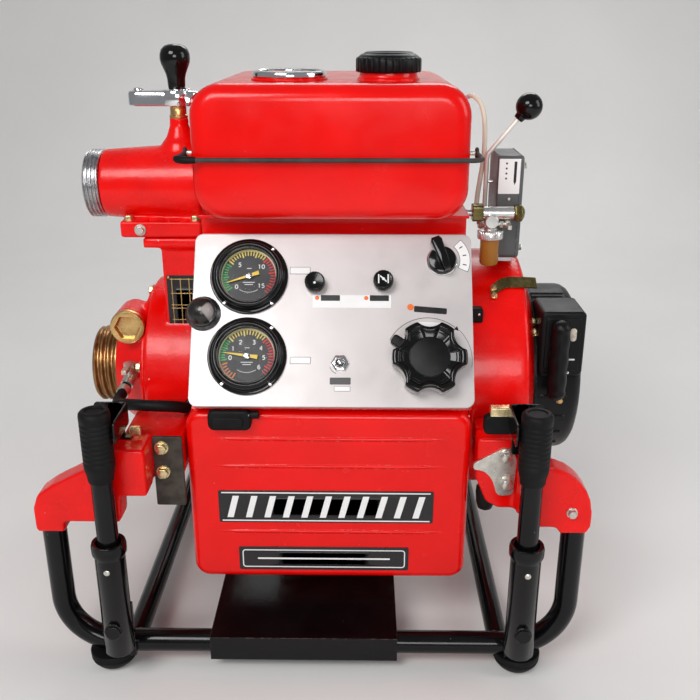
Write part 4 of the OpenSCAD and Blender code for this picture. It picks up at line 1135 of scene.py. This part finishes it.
GUARD_FACE = -79.95
guard = Piece("belt_guard_shell")
guard_spot = to_right(203.5, -47, 488.75)
for size in ((66, 117.5, 6, 0, 29.5, (2, 3.5)), (67.2, 118.7, 6.6, 25, 26.6, (0.6, 0.6)),
    (48, 100, 6, 28.6, 31, (0, 1.5))):
    guard.add(slab(*size), guard_grey, guard_spot)
for x, y in ((-24, 50), (24, 50), (-24, -50), (24, -50)):
    guard.add(bolt(4.2, 3.2, 1), zinc, guard_spot @ at(x, y * 0.94, 29.2))
guard.add(slab(24.5, 39, 1.2, 0, 0.35), label_white, front(217, GUARD_FACE, 524.5))
guard.add(prism([(-1.5, 14), (-1.5, -8), (0, -12), (1.5, -8), (1.5, 14)], 0.35, 0.5), label_black,
    front(223, GUARD_FACE, 527))
for i in range(4):
    guard.add(slab(2.2, 2.2, 0.8, 0.3, 0.45), label_grey, front(213, GUARD_FACE, 539 - 5.6 * i))
guard.add(screw(2.0, 1.6), zinc, front(217.5, -79.9, 499))
guard.done("grey_paint", "belt_guard")

LEVER_Y, LEVER_Z = -55, 470
vacuum = Piece("vacuum_pump_body")
vacuum_spot = to_right(207, -50, 452)
vacuum.add(lathe([(4, 0), (26, 0), (27, 1), (27, 5), (25, 6.4), (25, 15), (27, 16.4), (27, 21), (26, 22),
    (8, 22), (0.5, 22)], 72), alloy, vacuum_spot)
for k in range(6):
    a = radians(60 * k + 30)
    vacuum.add(bolt(3.4, 2.4, 0.8), zinc, vacuum_spot @ at(*polar(21.5, a, 19.4)))
vacuum.add(slab(20, 32, 3, 423.4, 441, (0, 0)), alloy, at(218, -50, 0))
vacuum.add(lathe([(0.5, 0), (4.6, 0), (5, 0.5), (5, 22)], 32), machined, to_right(186, LEVER_Y, LEVER_Z))
vacuum.done("cast_alloy", "vacuum_pump")

priming = Piece("priming_lever", "primer_lever")
priming.add(hollow([(5.1, 0), (9.4, 0), (10, 0.7), (10, 12.3), (9.4, 13), (5.1, 13)], 48), pale_plate,
            to_right(187.5, LEVER_Y, LEVER_Z))
lever_bend, lever_tip = Vector((194, LEVER_Y, 545)), Vector((238, LEVER_Y, 598.5))
lever_run = (lever_tip - lever_bend).normalized()
rod_path = [(x, LEVER_Y, z) for x, z in ((194, 478), (194, 500), (194, 520), (194, 538), (194.2, 542),
    (195, 546))]
rod_path += [lever_bend + lever_run * d for d in (6, 16, 34, 52)]
priming.add(tube(smooth_path(rod_path, 5), 2.6, 24), pale_plate)
priming.add(lathe([(0.4, 0), (1.8, 0), (1.8, 8.4), (0.4, 8.4)], 20), satin, to_right(194, LEVER_Y, 515))
ball = [(15 * sin(radians(t)), -15 * cos(radians(t))) for t in range(176, 24, -6)][::-1]
priming.add(lathe([(2.7, -18.6), (4.8, -18.6), (5.6, -17.6), (6.4, -13.4)] + ball, 64), black_gloss,
    facing(lever_tip, lever_run))
priming.done("chrome", "vacuum_lever")

# ---------- fuel cock and sediment bowl ----------

COCK_Y, COCK_Z = -98, 487
bowl_place = at(196, COCK_Y, 0)
cock = Piece("sediment_bowl")
cock.add(lathe([(0.5, 0), (6.4, 0), (7.2, 0.8), (7.2, 34.6), (6.4, 35.4), (0.5, 35.4)], 48), satin,
         to_right(186, COCK_Y, COCK_Z))
cock.add(slab(18, 18, 3, 0, 12, (1, 1)), olive, to_right(174.2, COCK_Y, 487.5))
cock.add(lathe([(0.5, -7), (4, -7), (4, 0.5)], 24), alloy, to_right(175.3, COCK_Y, COCK_Z))
cock.add(lathe([(3, 0), (8.4, 0), (8.7, 0.8), (8.7, 7.6), (8, 8.6), (4, 11.2), (0.5, 11.6)], 48,
    shape=hexagon), olive, to_right(221.6, COCK_Y, COCK_Z))
cock.add(lathe([(0.5, 467), (7.8, 467), (7.8, 470), (6.4, 471), (6.2, 473), (8.2, 474.4), (9.3, 476.8),
    (9.5, 478.4), (8.8, 481.4), (7, 484), (6.4, 487), (0.5, 487)], 48), satin, bowl_place)
cock.add(lathe([(10.6, 458.1), (13.9, 458.1), (14.5, 458.8), (14.5, 466.2), (13.6, 467.4), (9, 468.6),
    (0.5, 468.8)], 180, shape=knurl(36, 0.035)), satin, bowl_place)
cock.add(lathe([(0.5, 427), (6, 427.2), (9.2, 428.2), (10.7, 430.6), (10.7, 458), (0.5, 458)], 64), amber,
    bowl_place)
cock.add(lathe([(0.5, 0), (2.5, 0), (2.5, 22)], 20), zinc, to_right(196, COCK_Y, 474.5))
cock.add(hollow([(2.4, 0), (3.8, 0), (3.8, 3.4), (2.4, 3.4)], 20, shape=hexagon), zinc,
         to_right(206.5, COCK_Y, 474.5))
cock.add(lathe([(0.5, 0), (7.4, 0), (7.6, 0.6), (7.6, 2.4), (6.8, 3.2), (0.5, 3.4)], 40), satin,
    front(196, -105, 478.5))
cock.done("cast_alloy", "fuel_cock")

# ---------- side plates and handle catches ----------


def rounded(corners, r, steps=5):
    """An outline with each corner rounded."""
    out = []
    for i, corner in enumerate(corners):
        here, back, ahead = Vector(corner), Vector(corners[i - 1]), Vector(corners[(i + 1) % len(corners)])
        into, away = (back - here).normalized(), (ahead - here).normalized()
        reach = min(r, (back - here).length * 0.45, (ahead - here).length * 0.45)
        for k in range(steps + 1):
            t = k / steps
            p = (1 - t) ** 2 * (here + into * reach) + 2 * t * (1 - t) * here + t**2 * (here + away * reach)
            out.append(tuple(p))
    return out


plates = Piece("side_plates")
RIGHT_PLATE = [(172, 245), (172, 238), (184, 236), (193, 226), (199, 206), (216, 207), (218, 250), (212, 262),
    (203, 263)]
PLATE_FACE = 232
for way in (-1, 1):
    spot = facing((0, way * PLATE_FACE, 0), (0, way, 0))
    turned = [(-way * x, z) for x, z in RIGHT_PLATE]
    plates.add(prism(rounded(turned if way < 0 else turned[::-1], 6), 0, 3.4), zinc, spot)
    plates.add(slab(31.8, 82, 2, 0, 4, (0, 0.8)), aged_plate, spot @ at(way * 154.9, 233, 0))
    for x, z in ((-161, 262), (-161, 233)):
        plates.add(bolt(6.6, 5.2, 1.6), yellow_zinc, spot @ at(-way * x, z, 4))
    for x, z in ((206, 254), (208, 222)):
        plates.add(bolt(6.6, 5.2, 1.6), zinc, spot @ at(-way * x, z, 3.4))
    plates.add(slab(16, 13, 1.5, 275.3, 277.2, (0, 0.5)), black_enamel, at(-198, way * 237.6, 0))
    for x, inner, base in ((-211, 1, 275.4), (224, -1, 260.4)):
        ear = x + inner * 19.2
        spot = facing((0, way * 242.4, 0), (0, way, 0))
        plates.add(slab(30, 318 - base, 4, 0, 1.8, (0, 0.5)), black_enamel,
            spot @ at(-way * x, (318 + base) / 2, 0))
        plates.add(slab(20.4, 24, 3, 0, 1.8, (0, 0.5)), black_enamel, spot @ at(-way * (x + ear) / 2, 306, 0))
        plates.add(slab(53.4, 24, 4, -0.9, 0.9, (0.4, 0.4)), black_enamel, to_right(ear, way * 269.2, 306))
plates.done("zinc_plate", "bolted_plates")

# ---------- small brackets, bolts and rubber ----------

extras = Piece("small_fittings")


def on_drum(x, angle, r):
    """A point on the flywheel housing: angle in degrees up from the front."""
    return (x, AXIS_Y - r * cos(radians(angle)), AXIS_Z + r * sin(radians(angle)))


strap_rings = []
for k in range(33):
    s = k / 32
    x = 199 + 54 * s
    a = 60.3 - 6.3 * (1 - min(1, s * 2.3)) ** 2
    ring = []
    for wide, r in ((-3.1, 148.3), (3.1, 148.3), (3.1, 150.4), (-3.1, 150.4)):
        ring.append(on_drum(x, a + wide, r + 1.0 * sin(pi * s)))
    strap_rings.append(ring)
extras.add(skin(strap_rings), olive)
for angle in (52.5, 56.8):
    extras.add(bolt(3.4, 3, 0.8), yellow_zinc,
               facing(on_drum(202.5, angle, 150.4), (0, -cos(radians(angle)), sin(radians(angle)))))
for z in (428, 401):
    extras.add(bolt(3.8, 3.4, 1), yellow_zinc, to_right(168, -114, z))
extras.add(slab(17, 16, 3, 0, 20, (0, 2)), rubber, to_right(168, -128, 377.5))
extras.add(screw(1.6, 1.2), chrome, front(183, -136.4, 380))
for side in (-1, 1):
    extras.add(bolt(5.2, 4.6, 1.4), zinc, facing((272, side * 271.1, 207), (0, side, 0)))
    extras.add(lathe([(0.5, 0), (9, 0), (10.6, 2), (11, 8), (10.2, 20), (8, 27), (4, 29.6), (0.5, 30)], 40),
        rubber, facing((190, side * 214, 207), (0, 0, -1)))
    extras.add(lathe([(0.5, 0), (8.4, 0), (9.6, 2), (10, 7), (9, 15), (6, 19), (0.5, 20)], 40), rubber,
               facing((-156, side * 219, 224), (0, 0, -1)))
extras.add(slab(30, 22, 6, 0, 9, (0, 3)), rubber, front(194, -238, 295))
extras.add(slab(22, 12, 1.5, 0, 9, (0, 1.5)), yellow_zinc, front(196, -237, 308.5))
extras.add(bolt(5.4, 4, 1.2), aged_plate, front(208, -238, 287))
extras.add(bolt(5.6, 4.6, 1.2), zinc, facing((-190, -116, 320), (0, -0.9, 0.42)))
extras.add(slab(12, 10, 2, 0, 5, (0, 1)), yellow_zinc, front(-186, -238, 283.5))
extras.done("zinc_plate")

# ---------- exhaust ----------

MUFFLER_Y, MUFFLER_Z = 208, 140
CYLINDERS = (-25, 75)
exhaust = Piece("exhaust")
can = [(0.5, 0), (30, 0.6), (40, 3), (44.6, 8), (45.6, 11), (46.6, 12), (46.6, 15), (45.4, 16), (45.4, 133),
    (46.2, 134)]
can += [(46.2, 136), (45.4, 137), (45.4, 254), (46.6, 255), (46.6, 258), (45.6, 259), (44.6, 262), (40, 267),
    (30, 269.4), (0.5, 270)]
exhaust.add(lathe(can, 96), heat_black, to_right(-165, MUFFLER_Y, MUFFLER_Z))
exhaust.add(hollow([(14, 0), (16.5, 0), (16.5, 34), (18.5, 36), (18.5, 39), (14, 39)], 48), heat_black,
            to_right(-203, MUFFLER_Y, MUFFLER_Z))
exhaust.add(slab(150, 58, 12, 164, 190, (4, 4)), heat_black, at(25, 139, 0))
for x in CYLINDERS:
    exhaust.add(lathe([(17, 160), (17, 212), (26, 212.4), (26, 219.4), (17, 219.6)], 48), heat_black,
        at(x, 138, 0))
    for dx in (-20, 20):
        exhaust.add(bolt(4.4, 3.6, 1), aged_plate, facing((x + dx, 138, 212.2), (0, 0, -1)))
shield = []
for k in range(25):
    a = radians(-58 + 116 * k / 24)
    ring = []
    for x, r in ((-150, 49), (88, 49), (88, 50.4), (-150, 50.4)):
        bulge = 1.4 if k % 4 == 2 else 0
        ring.append((x, MUFFLER_Y + (r + bulge) * cos(a), MUFFLER_Z + (r + bulge) * sin(a)))
    shield.append(ring)
exhaust.add(skin(shield), aged_plate)
for x in (-138, 76):
    for a in (-50, 50):
        back, up = polar(1, radians(a))
        place = facing((x, MUFFLER_Y + 50.2 * back, MUFFLER_Z + 50.2 * up), (0, back, up))
        exhaust.add(bolt(3.6, 3, 1), yellow_zinc, place)
for x in (-120, 60):
    exhaust.add(ribbon([(0, 0), (34, 0)], 22, -1.2, 1.2), heat_black,
        facing((x, 180, 176), (0, -0.5, 0.86), 90))
exhaust.done("muffler_steel", "muffler")

# ---------- engine fittings ----------

block_fittings = Piece("head_fittings")
for x in CYLINDERS:
    block_fittings.add(hollow([(14, 0), (27, 0), (28, 1), (28, 3.4), (24, 7.6), (15, 8.6), (14, 8.4)], 64),
        red_cast, facing((x, 192, AXIS_Z), (0, 1, 0)))
head_bolts = [(x, z) for x in (-66, -25, 25, 75, 116) for z in (228, 322)]
head_bolts += [(x, z) for z in (252, 298) for x in (-66, 25, 116)]
for x, z in head_bolts:
    block_fittings.add(bolt(6, 5.4, 1.6), zinc, facing((x, 192, z), (0, 1, 0)))
block_fittings.add(hollow([(9, 0), (14, 0), (14, 6), (12, 8), (12, 22), (13.6, 23), (13.6, 26), (9, 26)], 48),
    alloy, at(25, 176, 334))
for side, x in ((-1, -75), (1, 125)):
    for y, z in ((70, 300), (140, 300), (70, 250), (140, 250)):
        block_fittings.add(bolt(5, 4, 1.2), zinc, facing((x - side * 0.2, y, z), (side, 0, 0)))
block_fittings.done("zinc_plate")

plugs = Piece("plug_caps")
for x in CYLINDERS:
    spot = facing((x, 200, AXIS_Z), (0, 1, 0))
    plugs.add(lathe([(6.9, -36), (6.9, 0), (9.2, 0), (9.2, 8.4), (8.4, 9.6), (6, 9.8)], 48, shape=hexagon),
        zinc, spot)
    plugs.add(lathe([(6, 9.6), (6, 14), (5.4, 15), (5.4, 22)], 40), glaze, spot)
    cap_line = [(7.4, 15), (8.6, 15.4), (9.2, 17), (8.6, 19), (9.2, 21), (8.6, 23), (9.4, 25), (10, 30),
        (10.4, 44), (9.6, 50)]
    plugs.add(lathe(cap_line + [(7, 51.8), (0.5, 52)], 48), rubber, spot)
plugs.done("ceramic", "spark_plugs")

starter_motor = Piece("starter_motor_body")
motor = to_right(24, -112, 184)
starter_motor.add(lathe([(0.5, 0), (20, 0), (26, 1.4), (30, 5), (31, 8), (31, 14), (30, 15), (30, 104),
    (31, 105), (31, 120), (29, 125), (24, 127), (24, 147), (0.5, 147.4)], 72), black_enamel, motor)
solenoid = to_right(44, -112, 232)
starter_motor.add(lathe([(0.5, 0), (13, 0), (15, 2), (15, 82), (14, 84), (0.5, 84)], 48), zinc, solenoid)
for dy in (-7, 7):
    starter_motor.add(lathe([(0.5, -9), (2, -9), (2, 0), (4, 0), (4, 2)], 20), brass, solenoid @ at(dy, 0, 0))
starter_motor.add(slab(20, 34, 3, 60, 120, (1, 1)), black_enamel, motor @ at(0, 27, 0))
starter_motor.done("black_paint", "starter_motor")

battery_place = at(3, -182, 0)
battery = Piece("battery_box")
battery.add(slab(138, 64, 4, 91.8, 172, (2, 1)), battery_case, battery_place)
battery.add(slab(141, 64, 4, 171, 186, (1, 3)), black_plastic, battery_place)
for x in (-52, 58):
    battery.add(lathe([(9, 184), (9, 188), (6.4, 188), (6, 196), (1, 196.2)], 32), aged_plate, at(x, -180, 0))
for i in range(6):
    battery.add(lathe([(7, 185.6), (7, 187.6), (6, 188.6), (1, 188.8)], 32), black_plastic,
        at(-36 + 15.6 * i, -196, 0))
battery.done("battery_plastic", "battery")

box_place = at(-46.15, -33, 0)
intake = Piece("intake")
for size in ((99.7, 102, 10, 364, 426, (4, 0)), (101.5, 103.8, 10.6, 424, 430, (1, 1)),
    (98, 100, 10, 429, 452, (0, 8))):
    intake.add(slab(*size), black_plastic, box_place)
intake.add(slab(52, 66, 5, 353.6, 400, (2, 4)), alloy, at(30, -29, 0))
intake.add(lathe([(0.5, 0), (20, 0), (21, 1), (21, 27), (20, 28), (0.5, 28)], 56), alloy,
    to_right(56, -29, 384))
intake.add(lathe([(0.5, 400), (17, 400), (17, 402), (15, 403), (15, 424), (17, 425.5), (17, 428),
    (0.5, 428.4)], 56), alloy, at(30, -30, 0))
for x, y in ((12, -54), (48, -54), (12, -4), (48, -4)):
    intake.add(screw(3.4, 2.4), brass, at(x, y, 399.6))
intake.done("cast_alloy", "carburettor")
